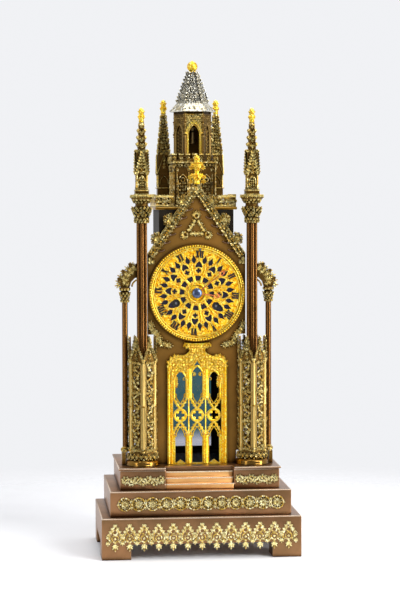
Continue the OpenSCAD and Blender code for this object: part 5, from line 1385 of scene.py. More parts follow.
@dataclass
class Columns:
    """Main and outer columns with their bases, sleeves, capitals and arms."""

    sleeve_z: float = FLOOR_Z + 16.0
    sleeve_r: float = 17.5
    sleeve_h: float = 117.0
    capital_z: float = CAPITAL_Z
    rng: np.random.Generator = field(default_factory=lambda: np.random.default_rng(23))

    def build(self) -> None:
        """Builds everything on and round the columns."""
        dress(["columns", "outer_columns"], Look.COLUMN)
        dress(["column_sleeves", "flying_buttresses"], Look.TONED_AND_SHADED)
        dress(["outer_bases"], Look.ROLLED)
        piece("column_base_mouldings", self.base_rings(), Look.ROLLED, node="column_bases")
        piece("column_base_leaves", self.base_leaves(), Look.ORMOLU)
        front, behind = self.sleeve_foliage()
        piece("sleeve_foliage", front, Look.ORMOLU)
        piece("sleeve_foliage_behind", behind, Look.ORMOLU)
        piece("sleeve_shafts", self.sleeve_shafts(), Look.BURNISHED)
        piece("capital_bells", self.capital_bells(), Look.TONED_AND_SHADED, node="capitals")
        piece("capital_leaves", self.capital_leaves(), Look.ORMOLU)
        piece("outer_capital_bells", self.outer_bells(), Look.TONED_AND_SHADED, node="outer_capitals")
        piece("outer_capital_leaves", self.outer_leaves(), Look.ORMOLU)
        piece("outer_base_rings", self.outer_bases(), Look.ORMOLU)
        piece("buttress_crockets", self.buttress_leaves(), Look.ORMOLU)

    def base_rings(self) -> Form:
        """Turned base: a torus, a hollow and an upper ring."""
        shape = smooth_profile([(7.3, 0), (20.4, 0.0), (20.9, 2.4), (20.6, 5.0), (19.2, 6.8), (17.4, 7.8), (16.6, 9.4),
                                (17.2, 11.0), (17.6, 12.6), (17.2, 14.6), (16.4, 15.8), (7.3, 16.0)], 4)
        return lathed_ring(shape, 64).moved(COLUMN_X, COLUMN_Y, FLOOR_Z).both()

    def base_leaves(self) -> Form:
        """Two rows of curled leaves round the upper ring, with a bead under each gap."""
        row, turns = frond(4.4, 0.4, 30), evenly(20)
        return joined([
            on_faces(row.moved(0, -17.6, 12.2), turns),
            on_faces(row.turned(rot("Y", 180)).moved(0, -18.2, 12.8), turns + 9.0),
            on_faces(ball(1.1, 1.1, 1.1).moved(0, -18.4, 8.4), turns),
        ]).moved(COLUMN_X, COLUMN_Y, FLOOR_Z).both()

    def panel(self) -> Form:
        """Leafwork of one sleeve panel, in front of the plane y = 0 and standing on z = 0.

        The stem's sideways place is 3.4 sin(2 pi z / 21). Leaves part from it on both sides, and flowers sit in its
        bends.
        """
        rng = self.rng
        leafy = frond(3.9, 0.42, 28)
        z = np.linspace(2.5, 113, 90)
        parts: list[Form] = [flat_tube(np.stack([3.4 * np.sin(2 * np.pi * z / 21), z], axis=-1), -0.5, 0.8, 0.9, 6)]
        for s in (-1.0, 1.0):
            parts.append(strip(s * 7.0, 113.0, s * 7.0, 2.0, half_round(1.0, 0.9, 4)))
        spots: list[tuple[float, float, float]] = []
        turns: list[float] = []
        for i, up in enumerate(np.arange(4.0, 112, 3.5)):
            x = 3.4 * math.sin(2 * math.pi * up / 21)
            side = 1.0 if i % 2 else -1.0
            spots.append((x + side * 0.8, -0.6, up))
            turns.append(side * rng.uniform(48, 88))
        bends = np.array([((-1.0) ** k * -1.8, -0.8, 5.25 + 10.5 * k) for k in range(11)])
        parts.append(at_places(rosette(2.5, 5, 1.9), bends, rng.uniform(0, 72, 11)))
        for up in (2.6, 39.0, 76.0, 113.5):
            for x in (-4.8, -1.6, 1.6, 4.8):
                spots.append((x, -0.7, up + rng.uniform(-0.6, 0.6)))
                turns.append(rng.uniform(-40, 40))
        w = self.sleeve_r
        crest = np.array([[w * 0.46, 0.5], [w * 0.4, 4.0], [w * 0.32, 7.6], [w * 0.22, 11.0], [w * 0.14, 14.6],
                          [w * 0.09, 18.4], [w * 0.06, 22.4]])
        for x, up in crest:
            for s in (-1.0, 1.0):
                spots.append((s * x, -0.4, self.sleeve_h + up))
                turns.append(s * rng.uniform(30, 75))
        for up in (3.0, 8.0, 13.0):
            parts.append(rosette(2.4, 5, 1.9).moved(0, -0.8, self.sleeve_h + up))
        for up in (17.0, 21.0, 25.0):
            spots.append((0.0, -0.6, self.sleeve_h + up))
            turns.append(rng.uniform(-15, 15))
        parts.append(at_places(leafy, np.array(spots), turns, rng.uniform(0.85, 1.15, len(spots))))
        parts.append(at_places(frond(4.6, 0.4, 15), (0, -0.2, self.sleeve_h + 27)))
        return joined(parts)

    def sleeve_foliage(self) -> tuple[Form, Form]:
        """The leafwork on the panels of both sleeves, with a small capital on each corner shaft.

        Returns:
            The four panels in front and at the sides with the capitals, and the two behind.
        """
        face = self.panel().moved(0, -(self.sleeve_r * COS_30 + 0.9), 0)
        shape = [(1.5, -3), (2.5, -2.2), (1.9, -1.0), (2.9, 1.0), (2.9, 2.2), (0, 2.6)]
        cap = turning(shape, 12, 3).moved(0, -self.sleeve_r, 0)
        caps = [on_faces(cap.moved(z=z), SIX) for z in (self.sleeve_h, 3.2)]
        front = joined([on_faces(face, [30, 90, 270, 330])] + caps)
        behind = on_faces(face, [150, 210])
        return tuple(form.moved(COLUMN_X, COLUMN_Y, self.sleeve_z).both() for form in (front, behind))

    def sleeve_shafts(self) -> Form:
        """Burnished shafts on the sleeves' corners, each with a thinner one on either side, ringed half way up."""
        shape = [(0.0, 2.0), (1.75, 2.1), (1.75, 58.0), (2.3, 58.8), (2.3, 60.2), (1.75, 61.0), (1.75, 113.9),
                 (0.0, 114.0)]
        main = lathe(shape, 14).moved(0, -self.sleeve_r - 0.15, 0)
        thin = lathe([(r * 0.55, z) for r, z in shape], 10).moved(2.7, -self.sleeve_r + 0.7, 0)
        one = joined([main, thin.both()])
        return on_faces(one, SIX).moved(COLUMN_X, COLUMN_Y, self.sleeve_z).both()

    def capital_bells(self) -> Form:
        """Turned bell between a ring and an eight-sided top."""
        bell = smooth_profile([(0, 0), (7.8, 0), (8.6, 1.2), (8.6, 6.2), (9.4, 7.4), (7.6, 8.4), (7.8, 10.4), (9.4, 14),
                               (10.8, 18.2), (10.6, 20.2), (8.4, 21.6), (8.2, 24.4), (9.8, 26.6), (12.0, 29.6),
                               (12.2, 30.6), (0, 30.8)], 4)
        top = self.eight_sided([(13.7, 30.2), (14.4, 31.2), (14.4, 33.2), (15.0, 34.2), (15.0, 35.4)])
        return joined([lathe(bell, 40), top]).moved(COLUMN_X, COLUMN_Y, self.capital_z).both()

    def capital_leaves(self) -> Form:
        """Leaf rings of the capital: a small one at its foot, two great ones on the bell and one under the top."""
        rows = [(0.8, 8.7, 3.4, 14, 18), (4.0, 8.7, 3.2, 14, 18), (8.8, 8.2, 4.6, 12, 42), (11.8, 9.2, 4.8, 12, 46),
                (15.2, 10.4, 4.6, 14, 44), (18.0, 11.0, 3.4, 14, 30), (25.4, 9.4, 3.4, 14, 40),
                (28.4, 11.4, 3.6, 16, 22)]
        parts = [self.eight_sided([(15.0, 34.6), (15.5, 34.8), (15.5, 35.6), (14.6, 35.8)])]
        for i, (z, r, size, count, curl) in enumerate(rows):
            for k in range(count):
                one = frond(size * self.rng.uniform(0.85, 1.15), 0.42, curl)
                one = one.turned(rot("Y", self.rng.uniform(-28, 28))).moved(0, -r, z)
                parts.append(on_faces(one, [(k + 0.5 * (i % 2) + self.rng.uniform(-0.15, 0.15)) * 360.0 / count]))
        edge = frond(3.2, 0.4, 10).turned(rot("Y", 180)).moved(0, -13.9, 34.6)
        parts.append(on_faces(joined([edge.moved(x, 0, 0) for x in (-4.2, -1.4, 1.4, 4.2)]), evenly(8)))
        return joined(parts).moved(COLUMN_X, COLUMN_Y, self.capital_z).both()

    @staticmethod
    def eight_sided(profile: Points) -> Form:
        """Eight-sided moulding from (corner radius, height) pairs, closed above and below."""
        return grid(revolved(profile, np.radians(evenly(8, 22.5))))

    def outer_bells(self) -> Form:
        """Small turned capital of an outer column."""
        bell = smooth_profile([(0, 0), (4.4, 0), (5.3, 1.2), (5.2, 3.0), (4.2, 4.4), (4.4, 8), (5.6, 12), (6.0, 13.2),
                               (4.8, 14.2), (6.4, 15.4), (6.6, 18.6), (0, 19.0)], 4)
        return lathe(bell, 24).moved(OUTER_X, OUTER_Y, OUTER_CAPITAL_Z).both()

    def outer_leaves(self) -> Form:
        """Leaves on the small capitals."""
        rows = [(0.6, 5.2, 2.8, 9), (4.0, 4.6, 3.4, 8), (7.2, 4.8, 4.0, 8), (10.4, 5.8, 3.4, 9), (15.4, 6.4, 3.0, 10)]
        parts = []
        for i, (z, r, size, count) in enumerate(rows):
            curled = frond(size, 0.42, 35 if i in (1, 2, 3) else 12).moved(0, -r, z)
            parts.append(on_faces(curled, (np.arange(count) + 0.5 * (i % 2)) * 360.0 / count))
        return joined(parts).moved(OUTER_X, OUTER_Y, OUTER_CAPITAL_Z).both()

    def outer_bases(self) -> Form:
        """Turned ring with leaves at the foot of an outer column."""
        ring = smooth_profile([(3.7, 16.6), (5.2, 17.0), (5.6, 18.4), (4.8, 19.8), (5.0, 21.4), (4.2, 22.6),
                               (3.7, 23.2)], 4)
        leaves = frond(3.0, 0.4, 20).moved(0, -5.0, 18.2)
        return joined([lathed_ring(ring, 24), on_faces(leaves, evenly(9))]).moved(OUTER_X, OUTER_Y, FLOOR_Z).both()

    def buttress_leaves(self) -> Form:
        """Crockets on the arm's back, a bead under it and leaves on both its faces."""
        z0 = OUTER_CAPITAL_Z + 19.0
        x, z, turns = np.array([[6.8, 2.4, 80], [6.2, 7.6, 70], [4.0, 12.8, 50], [0.6, 17.6, 42], [-4.6, 22.6, 36],
                                [-10.6, 27.4, 30]]).T
        places = points_at(OUTER_X + x, OUTER_Y, z0 + z)
        parts = [at_places(frond(6.4, 0.6, 0), places, turns + turn, size)
                 for turn, size in ((14.0, 1.0), (-30.0, 0.8), (60.0, 0.7))]
        parts.append(at_places(ball(1.7, 2.6, 1.7), places))
        x, z, turns = np.array([[-3.4, 3.4, 10], [0.6, 5.4, 30], [-2.4, 9.4, -20], [1.2, 11.0, 40], [-4.0, 14.6, -40],
                                [-1.6, 16.6, 20], [-8.6, 18.2, -50], [-6.4, 21.4, 10], [-13.4, 22.4, -60],
                                [-11.4, 25.2, 0]]).T
        for y in (OUTER_Y - 2.6, OUTER_Y + 2.6):
            foot = points_at(OUTER_X + x, y, z0 + z)
            parts.append(flat_tube(arc(OUTER_X - 19.0, z0, 10.0, 5, 85, 12), y, 0.9, 0.7, 6))
            parts += [at_places(frond(size, 0.36, 0), foot, turns + turn) for size, turn in ((4.6, 0.0), (3.6, 130.0))]
        return joined(parts).both()


@dataclass
class Pinnacles:
    """The four pinnacles' panels, crockets and gilt buds."""

    front_z: float = CAPITAL_Z + 35.4
    front_block: float = 6.4
    front_shaft: float = 49.0
    front_spire: float = 34.0
    rear_x: float = 34.3
    rear_y: float = 70.3
    rear_block: float = 24.5
    rear_shaft: float = 43.0
    rear_spire: float = 51.0
    neck: float = 1.8

    def build(self) -> None:
        """Builds the leafwork of the pinnacles and their buds."""
        dress(["pinnacles", "rear_pinnacles"], Look.TONED_AND_SHADED)
        front = joined([self.shaft(13.2, self.front_shaft, True),
                        self.rings(self.front_shaft, self.front_spire, 9.4, 5.6)])
        rear = joined([self.shaft(16.0, self.rear_shaft, False),
                       self.scales(self.rear_shaft, self.rear_spire, 14.0, 4.4)])
        front_foot, rear_foot = self.front_z + self.front_block, LEDGE_Z + self.rear_block
        front_tip = front_foot + self.front_shaft + self.front_spire + self.neck
        rear_tip = rear_foot + self.rear_shaft + self.rear_spire + self.neck
        front = front.moved(COLUMN_X, COLUMN_Y, front_foot)
        rear = rear.moved(self.rear_x, self.rear_y, rear_foot)
        foot = [self.band(8.6, 0.9, 5.6).moved(COLUMN_X, COLUMN_Y, self.front_z),
                self.band(9.6, 1.0, 23.6).moved(self.rear_x, self.rear_y, LEDGE_Z)]
        piece("front_pinnacle_crockets", front.both(), Look.ORMOLU)
        piece("rear_pinnacle_crockets", rear.both(), Look.ORMOLU)
        piece("pinnacle_foot_bands", joined(foot).both(), Look.ORMOLU)
        low = self.bud().moved(COLUMN_X, COLUMN_Y, front_tip)
        high = self.bud().moved(self.rear_x, self.rear_y, rear_tip)
        piece("pinnacle_buds", joined([low.both(), high.both()]), Look.GILT, node="pinnacle_finials")

    @staticmethod
    def band(half: float, low: float, high: float) -> Form:
        """Two half-round bands round a square block whose half width is half."""
        parts = []
        for z in (low, high):
            line = strip(-half, z, half, z, half_round(1.4, 0.7, 5), -half)
            parts.append(on_faces(line, FOUR))
        return joined(parts)

    @staticmethod
    def shaft(w: float, height: float, leafy: bool) -> Form:
        """Mouldings of one panelled shaft that stands on z = 0, with or without foliage on its gablets.

        Args:
            w: width of the shaft.
            height: height of the shaft, of which the gablets take the upper 0.6.
            leafy: whether leaves climb the gablets and fill them.

        Returns:
            Beads round the panels and on the corners, and the gablets' lines and leaves.
        """
        rise = 0.6 * height
        foot = height - rise
        opening = pointed(w - 5, max(1.0, foot - w), foot=0.2, n=6) + np.array([0.0, 4.0])
        gable = np.array([[-w / 2 - 0.8, foot + 0.4], [0, height - 0.6], [w / 2 + 0.8, foot + 0.4]])
        face = [moulding(opening[::-1], half_round(1.2 if leafy else 0.8, 0.9, 5), -w / 2)]
        for s in (-1.0, 1.0):
            edge = np.array([[s * (w / 2 - 0.5), foot - 0.5], [s * (w / 2 - 0.5), 0.6]])
            face.append(moulding(edge, half_round(1.3 if leafy else 0.9, 0.9, 5), -w / 2))
        face.append(moulding(gable[::-1], half_round(1.5 if leafy else 0.8, 1.0, 5), -w / 2 - 1))
        small = frond(3.2, 0.42, 25)
        if leafy:
            big, t = frond(4.6, 0.42, 30), np.linspace(0.06, 0.94, 8)
            for s in (-1.0, 1.0):
                x, z = s * (w / 2 + 0.4) * (1 - t), foot + rise * t
                at = points_at(x, -w / 2 - 1.1, z)
                face.append(at_places(big, at, s * 52.0, np.linspace(0.95, 0.75, 8)))
                face.append(at_places(small, at + np.array([-s * 1.0, -0.2, 0]), s * 160.0, 0.8))
            inner = np.array([[0, -w / 2 - 1.0, foot + f * rise] for f in (0.1, 0.26, 0.42, 0.58, 0.74)])
            face.append(at_places(rosette(2.4, 5, 1.8), inner, [0, 20, 40, 60, 80], [1.2, 1.05, 0.9, 0.75, 0.6]))
            x, z = np.array([(-3.6, 2.4), (3.6, 2.4), (-2.6, 7.6), (2.6, 7.6), (-5.2, 0), (5.2, 0)]).T
            face.append(at_places(small, points_at(x, -w / 2 - 1.0, foot + z), [-30, 30, -20, 20, -50, 50]))
            panel = [(x, -w / 2 + 0.5, z) for z in np.arange(5.0, 15, 3.2) for x in (-1.8, 1.8)]
            face.append(at_places(small, np.array(panel), [(-1.0) ** i * 35.0 for i in range(len(panel))], 0.8))
            face.append(at_places(small, points_at((-4.5, -1.5, 1.5, 4.5), -w / 2 - 0.2, 0.4)))
            crest = points_at((-5.4, -2.7, 0.0, 2.7, 5.4), -w / 2 + 0.4, height - 1.4)
            face.append(at_places(small, crest, [-12, -6, 0, 6, 12], 1.1))
        else:
            face.append(rosette(2.2, 5, 1.6).moved(0, -w / 2 - 1.0, foot + 0.36 * rise))
            face += [small.moved(0, -w / 2 - 1.0, foot + f * rise) for f in (0.5, 0.64, 0.78)]
        return on_faces(joined(face), FOUR)

    @staticmethod
    def rings(foot: float, spire: float, low_w: float, high_w: float) -> Form:
        """Three wide rings of leaves round a front spire, a lower one at its foot and a turned neck on top."""
        parts = []
        for i in range(4):
            t = i / 4
            half = (low_w + (high_w - low_w) * t) / 2
            z, size = foot + t * spire, 5.2 - 0.5 * i
            corner = joined([frond(size, 0.46, 48).moved(0, -half * 1.3, z - 2.4),
                             ball(1.5, 1.5, 1.5).moved(0, -half * 1.3 - 1.6, z + 0.4)])
            face = joined([frond(size, 0.46, 40).moved(x, -half - 0.3, z - 2.6) for x in (-1.7, 1.7)])
            parts += [on_faces(corner, FOUR_BETWEEN), on_faces(face, FOUR)]
            up = frond(3.2, 0.42, 10).moved(0, -half + 0.1, z + 3.4)
            parts.append(on_faces(up, FOUR))
        neck = turning([(2.6, -3.0), (3.8, -2.2), (4.0, -0.4), (3.2, 1.0), (3.4, 1.6), (0.0, 1.8)], 16, 3)
        return joined(parts + [neck.moved(0, 0, foot + spire)])

    @staticmethod
    def scales(foot: float, spire: float, low_w: float, high_w: float) -> Form:
        """Rows of small leaves that cover a rear spire, and a crocket on each arris of every other row."""
        parts = []
        small, hook = frond(3.6, 0.42, 30), frond(4.2, 0.46, 48)
        rng = np.random.default_rng(17)
        count = 14
        for i in range(count):
            t = (i + 0.2) / count
            half = (low_w + (high_w - low_w) * t) / 2
            z = foot + t * spire
            n = max(1, int(round(2 * half / 3.1)))
            row = []
            for x in (np.arange(n) - (n - 1) / 2) * 3.1:
                leafy = small.turned(rot("Y", rng.uniform(-50, 50)))
                row.append(leafy.moved(x + rng.uniform(-0.5, 0.5), -half - 0.1, z - 0.4 + rng.uniform(-0.7, 0.7)))
            parts.append(on_faces(joined(row), FOUR))
            if i % 2:
                reach = half * math.sqrt(2)
                arris = joined([hook.moved(0, 0.4 - reach, z - 1.2),
                                ball(1.3, 1.3, 1.3).moved(0, -reach - 0.9, z + 1.2)])
                parts.append(on_faces(arris, FOUR_BETWEEN))
        neck = turning([(2.2, -3.0), (3.4, -2.0), (3.6, -0.2), (3.0, 1.2), (3.2, 1.7), (0.0, 1.8)], 16, 3)
        return joined(parts + [neck.moved(0, 0, foot + spire)])

    def bud(self) -> Form:
        """Gilt bud: a turned foot, a low bulb clasped by leaves, a wide crown of leaves and a pointed top."""
        stem = turning([(0, 0), (3.6, 0.2), (2.8, 2.2), (3.4, 4.4), (4.3, 7.0), (3.4, 9.6), (2.6, 11.0), (3.6, 13.0),
                        (3.0, 15.2), (1.2, 17.2), (0.0, 18.4)], 18)
        low, crown, top = (leaf(*sizes, lobes=2.6, rows=9, cols=6).moved(0, y, z) for sizes, y, z in (
            ((5.6, 4.0, 1.4, 60), -2.6, 1.6), ((5.4, 4.4, 1.5, 72), -2.6, 9.4), ((4.8, 3.4, 1.2, 20), -2.2, 12.6)))
        flower = rosette(2.0, 5, 1.8).moved(0, -4.3, 7.0)
        return joined([stem, on_faces(low, FOUR), on_faces(flower, FOUR_BETWEEN), on_faces(crown, SIX),
                       on_faces(top, SIX_BETWEEN)])


@dataclass
class Tower:
    """Parapet, tower stage, belfry and roof."""

    stage_w: float = 53.6
    belfry_r: float = 23.1
    roof_h: float = 51.5
    stage_h: float = 54.8

    @property
    def apothem(self) -> float:
        """Distance from the belfry's middle to its faces."""
        return self.belfry_r * COS_30

    def build(self) -> None:
        """Builds the mouldings and crestings of everything above the nave."""
        dress(["parapet"], Look.OLD_GILT)
        dress(["tower_stage", "belfry"], Look.TONED_AND_SHADED)
        dress(["tower_roof"], Look.ROOF_GROUND)
        dress(["roof_finial"], Look.GILT)
        dress(["belfry_bell"], Look.BELL)
        piece("parapet_foliage", self.parapet(), Look.ORMOLU)
        piece("ledge_strip", self.ledge(), Look.BURNISHED)
        piece("tower_stage_tracery", self.stage(), Look.OLD_GILT)
        piece("tower_stage_caps", self.caps(), Look.ORMOLU)
        piece("belfry_front_foliage", self.spandrels(SIX[:1]), Look.ORMOLU)
        # Painted shade: the same leaves as on the front face, dark on the five other faces.
        piece("belfry_side_foliage_shaded", self.spandrels(SIX[1:]), Look.TONED_AND_SHADED)
        piece("belfry_blind_arches", self.blind(), Look.TONED_AND_SHADED)
        piece("belfry_arch_edges", self.arch_edges(), Look.GILT)
        piece("roof_crockets", self.roof(), Look.ROOF)
        piece("roof_skirt", self.skirt(), Look.ROOF, crease=20)
        piece("roof_ball_leaves", self.ball_leaves(), Look.GILT)

    def ledge(self) -> Form:
        """Rounded strip along the front and side edges of the nave's ledge."""
        z, front, x = LEDGE_Z - 2.2, -15.0, 51.2
        ahead = strip(18.0, z, x, z, half_round(3.6, 0.9, 6), front).both()
        side = strip(-96.0, z, 0.0, z, half_round(3.6, 0.9, 6)).turned(rot("Z", 90)).moved(x, 80.0, 0).both()
        return joined([ahead, side])

    def parapet(self) -> Form:
        """Rails above and below the openwork, a flower in each opening and a leaf on each post."""
        hw, y0, y1 = 51.2, -12.0, 80.0
        parts = []
        for z, w in ((LEDGE_Z + 0.9, 1.3), (LEDGE_Z + 12.6, 1.1)):
            parts.append(flat_tube([[28.4, z], [hw - 0.4, z]], y0 + 1.0, w, 1.4, 8).both())
            parts.append(self.rail(hw - 1.2, y0 + 0.4, y1 - 0.4, z, w).both())
            parts.append(flat_tube([[-hw + 0.4, z], [hw - 0.4, z]], y1 - 1.2, w, 1.5, 8))
        leafy, flower = frond(3.6, 0.42, 15), rosette(2.9, 6, 1.8)
        x = np.arange(29.6, 51.4, 3.4)
        parts.append(at_places(leafy, points_at(x, y0 + 0.8, LEDGE_Z + 12.2), 0.0, 0.86).both())
        parts.append(at_places(flower, points_at(x[::2], y0 - 0.2, LEDGE_Z + 6.8)).both())
        gaps = points_at(x[1::2], y0 - 0.2, LEDGE_Z + 6.8)
        parts += [at_places(leafy, gaps, turn, 0.9).both() for turn in (0.0, 180.0)]
        y = np.arange(y0 + 4, y1 - 3, 4.4)
        leaf_out, flower_out = leafy.turned(rot("Z", 90)), flower.sized(0.8).turned(rot("Z", 90))
        parts.append(at_places(leaf_out, points_at(hw - 0.6, y, LEDGE_Z + 12.2)).both())
        parts.append(at_places(flower_out, points_at(hw - 0.6, y, LEDGE_Z + 6.8)).both())
        x = np.arange(-48.0, 49, 4.4)
        x = x[(np.abs(x) < 24) | (np.abs(x) > 44)]
        parts.append(at_places(leafy.turned(rot("Z", 180)), points_at(x, y1 - 1.0, LEDGE_Z + 12.2)))
        return joined(parts)

    @staticmethod
    def rail(x: float, y0: float, y1: float, z: float, r: float) -> Form:
        """Round rail along Y."""
        return about_y(lathe([(0, 0), (r, 0), (r, y1 - y0), (0, y1 - y0)], 10)).moved(x, y1, z)

    def stage(self) -> Form:
        """Blind arches filled with leaves on all four sides, with corner beads and a row of hanging leaves on top."""
        w = self.stage_w
        face = []
        small = frond(3.2, 0.4, 20)
        for x in (-15.0, 0.0, 15.0):
            arch = pointed(12.4, 24, foot=0.2, n=6) + [x, 6.0]
            face.append(moulding(arch[::-1], half_round(1.2, 0.9, 5), -w / 2))
            face.append(flat_tube(arc(x, 34.0, 2.6, 0, 340, 14), -w / 2 + 0.4, 0.7, 0.8, 6, closed=True))
            spots = [(x + dx, -w / 2 + 0.5, z) for z in np.arange(8.0, 31, 4.2) for dx in (-3.0, 0.0, 3.0)]
            turns = [(-1.0) ** i * 24.0 + 30.0 * ((i % 3) - 1) for i in range(len(spots))]
            face.append(at_places(small, np.array(spots), turns, 0.9))
        for x in (-22.5, -7.5, 7.5, 22.5):
            face.append(strip(x, 2.0, x, 44.0, half_round(1.4, 1.2, 5), -w / 2))
            face.append(rosette(2.6, 5, 1.6).moved(x, -w / 2 - 0.3, 46.8))
        for s in (-1.0, 1.0):
            face.append(strip(s * (w / 2 - 0.6), 2.0, s * (w / 2 - 0.6), 54.0, half_round(1.6, 1.2, 6), -w / 2))
        for z, h in ((1.2, 1.8), (50.4, 1.2)):
            face.append(strip(-w / 2, z, w / 2, z, half_round(h, 1.0, 5), -w / 2))
        top = points_at(np.arange(-24, 25, 4.0), -w / 2 - 0.6, self.stage_h - 1.6)
        face.append(at_places(small, top, 180.0, 0.86))
        return on_faces(joined(face), FOUR).moved(0, TOWER_Y, LEDGE_Z)

    def caps(self) -> Form:
        """Bright caps and flowers of the merlons, and the stage's string course."""
        low = self.stage_h + 1.0
        face = [strip(-29.0, low, 29.0, low, half_round(2.2, 1.1, 6), -28.6)]
        for x in np.arange(-3, 4) * (29.0 - 3) / 3:
            face.append(block(x - 2.9, -29.4, 65.6, x + 2.9, -26.4, 67.4))
            face += [rosette(2.4, 5, 1.4).moved(x, -29.2, 61.6), frond(3.4, 0.42, 15).moved(x, -29.2, 56.8)]
        return on_faces(joined(face), FOUR).moved(0, TOWER_Y, LEDGE_Z)

    def spandrels(self, faces: Sequence[float]) -> Form:
        """Leaves over the arch of each of these faces, with a band above them and one at the foot."""
        apothem = self.apothem
        small = frond(3.4, 0.42, 20)
        spots, turns = [], []
        for row, z in enumerate(np.arange(34.0, 57.5, 2.7)):
            clear = 8.4 - max(0.0, z - 34.0) * 0.66
            for x in np.arange(-10.0 + 1.4 * (row % 2), 10.2, 2.8):
                if abs(x) > clear:
                    spots.append((x, -apothem - 0.5, z))
                    turns.append(50.0 * math.sin(1.7 * x + z))
        face = [at_places(small, np.array(spots), turns),
                strip(-11.4, 58.6, 11.4, 58.6, half_round(1.6, 1.0, 5), -apothem - 0.8),
                strip(-9.6, 1.2, 9.6, 1.2, half_round(1.8, 1.0, 5), -apothem - 0.4)]
        return on_faces(joined(face), faces).moved(0, TOWER_Y, PLATFORM_Z)

    def blind(self) -> Form:
        """Arch, mullion and leaves of the five blind faces, and the rings of the six corner shafts."""
        apothem = self.apothem
        small = frond(3.0, 0.42, 20)
        blind = [moulding(pointed(15.0, 33, foot=1.4, n=9)[::-1], half_round(1.3, 1.0, 6), -apothem - 0.1),
                 strip(0, 40.0, 0, 2.6, half_round(1.1, 0.8, 5), -apothem + 0.7)]
        for z in np.arange(5.0, 36, 4.4):
            blind += [at_places(small, (s * 2.8, 0.6 - apothem, z + s), s * 40.0) for s in (-1.0, 1.0)]
        shaft = lathe([(0, 2.0), (1.5, 2.1), (1.5, 57.0), (0, 57.2)], 10).moved(0, -self.belfry_r + 0.9, 0)
        cap = turning([(1.6, -2), (2.6, -1.4), (2.0, 0), (2.8, 1.6), (2.8, 2.6), (1.6, 3.0)], 14, 3)
        corner = joined([shaft] + [cap.moved(0, -self.belfry_r + 0.6, z) for z in (2.4, 31.0, 47.0)])
        return joined([on_faces(joined(blind), SIX[1:]),
                       on_faces(corner, SIX_BETWEEN)]).moved(0, TOWER_Y, PLATFORM_Z)

    def arch_edges(self) -> Form:
        """Bright slender columns and arches on both sides of the belfry's opening, with leaves on the arch."""
        apothem = self.apothem
        outer = moulding(pointed(17.4, 33, foot=1.4, n=9)[::-1], half_round(1.7, 1.3, 6), -apothem - 0.2)
        inner = moulding(pointed(14.2, 33, foot=1.4, n=9)[::-1], half_round(1.1, 0.9, 5), -apothem - 0.1)
        path = pointed(18.6, 33, n=12)[2:-2:2]
        lean = np.degrees(np.arctan2(path[:, 0], path[:, 1] - 33.0 + 4.0))
        leaves = at_places(frond(3.2, 0.42, 20), points_at(path[:, 0], -apothem - 0.8, path[:, 1]), lean)
        return joined([outer, inner, leaves]).moved(0, TOWER_Y, PLATFORM_Z)

    def skirt(self) -> Form:
        """Plain sloping eaves: six flat faces with a rounded lip."""
        profile = [(25.4, 0.1), (25.7, 0.5), (25.6, 1.5), (17.6, 11.4), (17.3, 12.2), (17.0, 12.0)]
        rings = revolved(np.array(profile) / [COS_30, 1.0], np.radians(evenly(6)))
        return grid(rings, ends=False).moved(0, TOWER_Y, EAVES_Z)

    def roof(self) -> Form:
        """Leaf crockets on the six arrises and rows of leafy scales on the slopes."""
        skirt, low, high = 11.5, 17.2, 4.6
        hook, scale = frond(4.2, 0.42, 45), frond(3.6, 0.42, 28)
        corner, face = [], []
        hooks, rows = 9, 14
        for i in range(hooks):
            f = (i + 0.3) / hooks
            r = (low * (1 - f) + high * f) / COS_30
            hooked = joined([hook, ball(1.2, 1.2, 1.2).moved(0, -1.6, 2.4)])
            corner.append(hooked.moved(0, 0.2 - r, skirt + f * (self.roof_h - skirt)))
        slope = math.degrees(math.atan2(low - high, self.roof_h - skirt))
        rng = np.random.default_rng(8)
        for i in range(rows):
            f = (i + 0.1) / rows
            apothem = low * (1 - f) + high * f
            span = 2 * apothem * math.tan(math.radians(30))
            n = max(1, int(span / 3.2))
            z = skirt + f * (self.roof_h - skirt)
            for px in (np.arange(n) - (n - 1) / 2) * 3.2:
                tilted = scale.turned(rot("Y", rng.uniform(-40, 40))).turned(rot("X", -slope))
                face.append(tilted.moved(px + rng.uniform(-0.5, 0.5), -apothem - 0.1, z + rng.uniform(-0.5, 0.5)))
        return joined([on_faces(joined(corner), SIX_BETWEEN), on_faces(joined(face), SIX)]).moved(0, TOWER_Y, EAVES_Z)

    def ball_leaves(self) -> Form:
        """Small leaves that clasp the gilt ball from below."""
        cup = leaf(6.0, 4.4, 0.9, -50, rows=8, cols=6).moved(0, -3.4, 1.0).scaled(1.0, 1.35, 0.8)
        return on_faces(cup, evenly(6)).moved(0, TOWER_Y, EAVES_Z + self.roof_h)


@dataclass
class Works:
    """Case behind the wall, rear door and the movement."""

    brasses: tuple[str, ...] = (
        "movement_frame", "going_barrel", "strike_barrel", "second_wheel", "pin_wheel", "centre_wheel", "minute_wheel",
        "hour_wheel", "third_wheel", "escape_wheel", "pendulum", "suspension_cock", "door_latch")
    steels: tuple[str, ...] = ("going_arbor", "strike_arbor", "pallets", "regulator_arbor", "hammer")

    def build(self) -> None:
        """Dresses the case and the movement."""
        dress(["nave_walls"], Look.DARK)
        # Painted shade: black boards darken the inside of the case and cover the light under the rear door.
        piece("case_floor_shade_boards", self.boards(), Look.SHADE_LINING)
        dress(["rear_door"], Look.DARK)
        dress(["rear_door_glass"], Look.PANE)
        dress(self.brasses, Look.BRASS)
        dress(self.steels, Look.STEEL)
        dress(["strike_bell"], Look.BELL)

    def boards(self) -> Form:
        """Black boards side by side on the slab inside the case, and a taller one across the back, as painted shade for
        the dark inside the case.
        """
        edges = np.linspace(-46.0, 46.0, 7)
        planks = [block(a + 0.2, -14.0, FLOOR_Z + 0.05, b - 0.2, 74.0, FLOOR_Z + 1.2)
                  for a, b in zip(edges[:-1], edges[1:])]
        return joined(planks + [block(-38.0, 73.0, FLOOR_Z + 0.05, 38.0, 75.6, FLOOR_Z + 5.0)])


# Studio


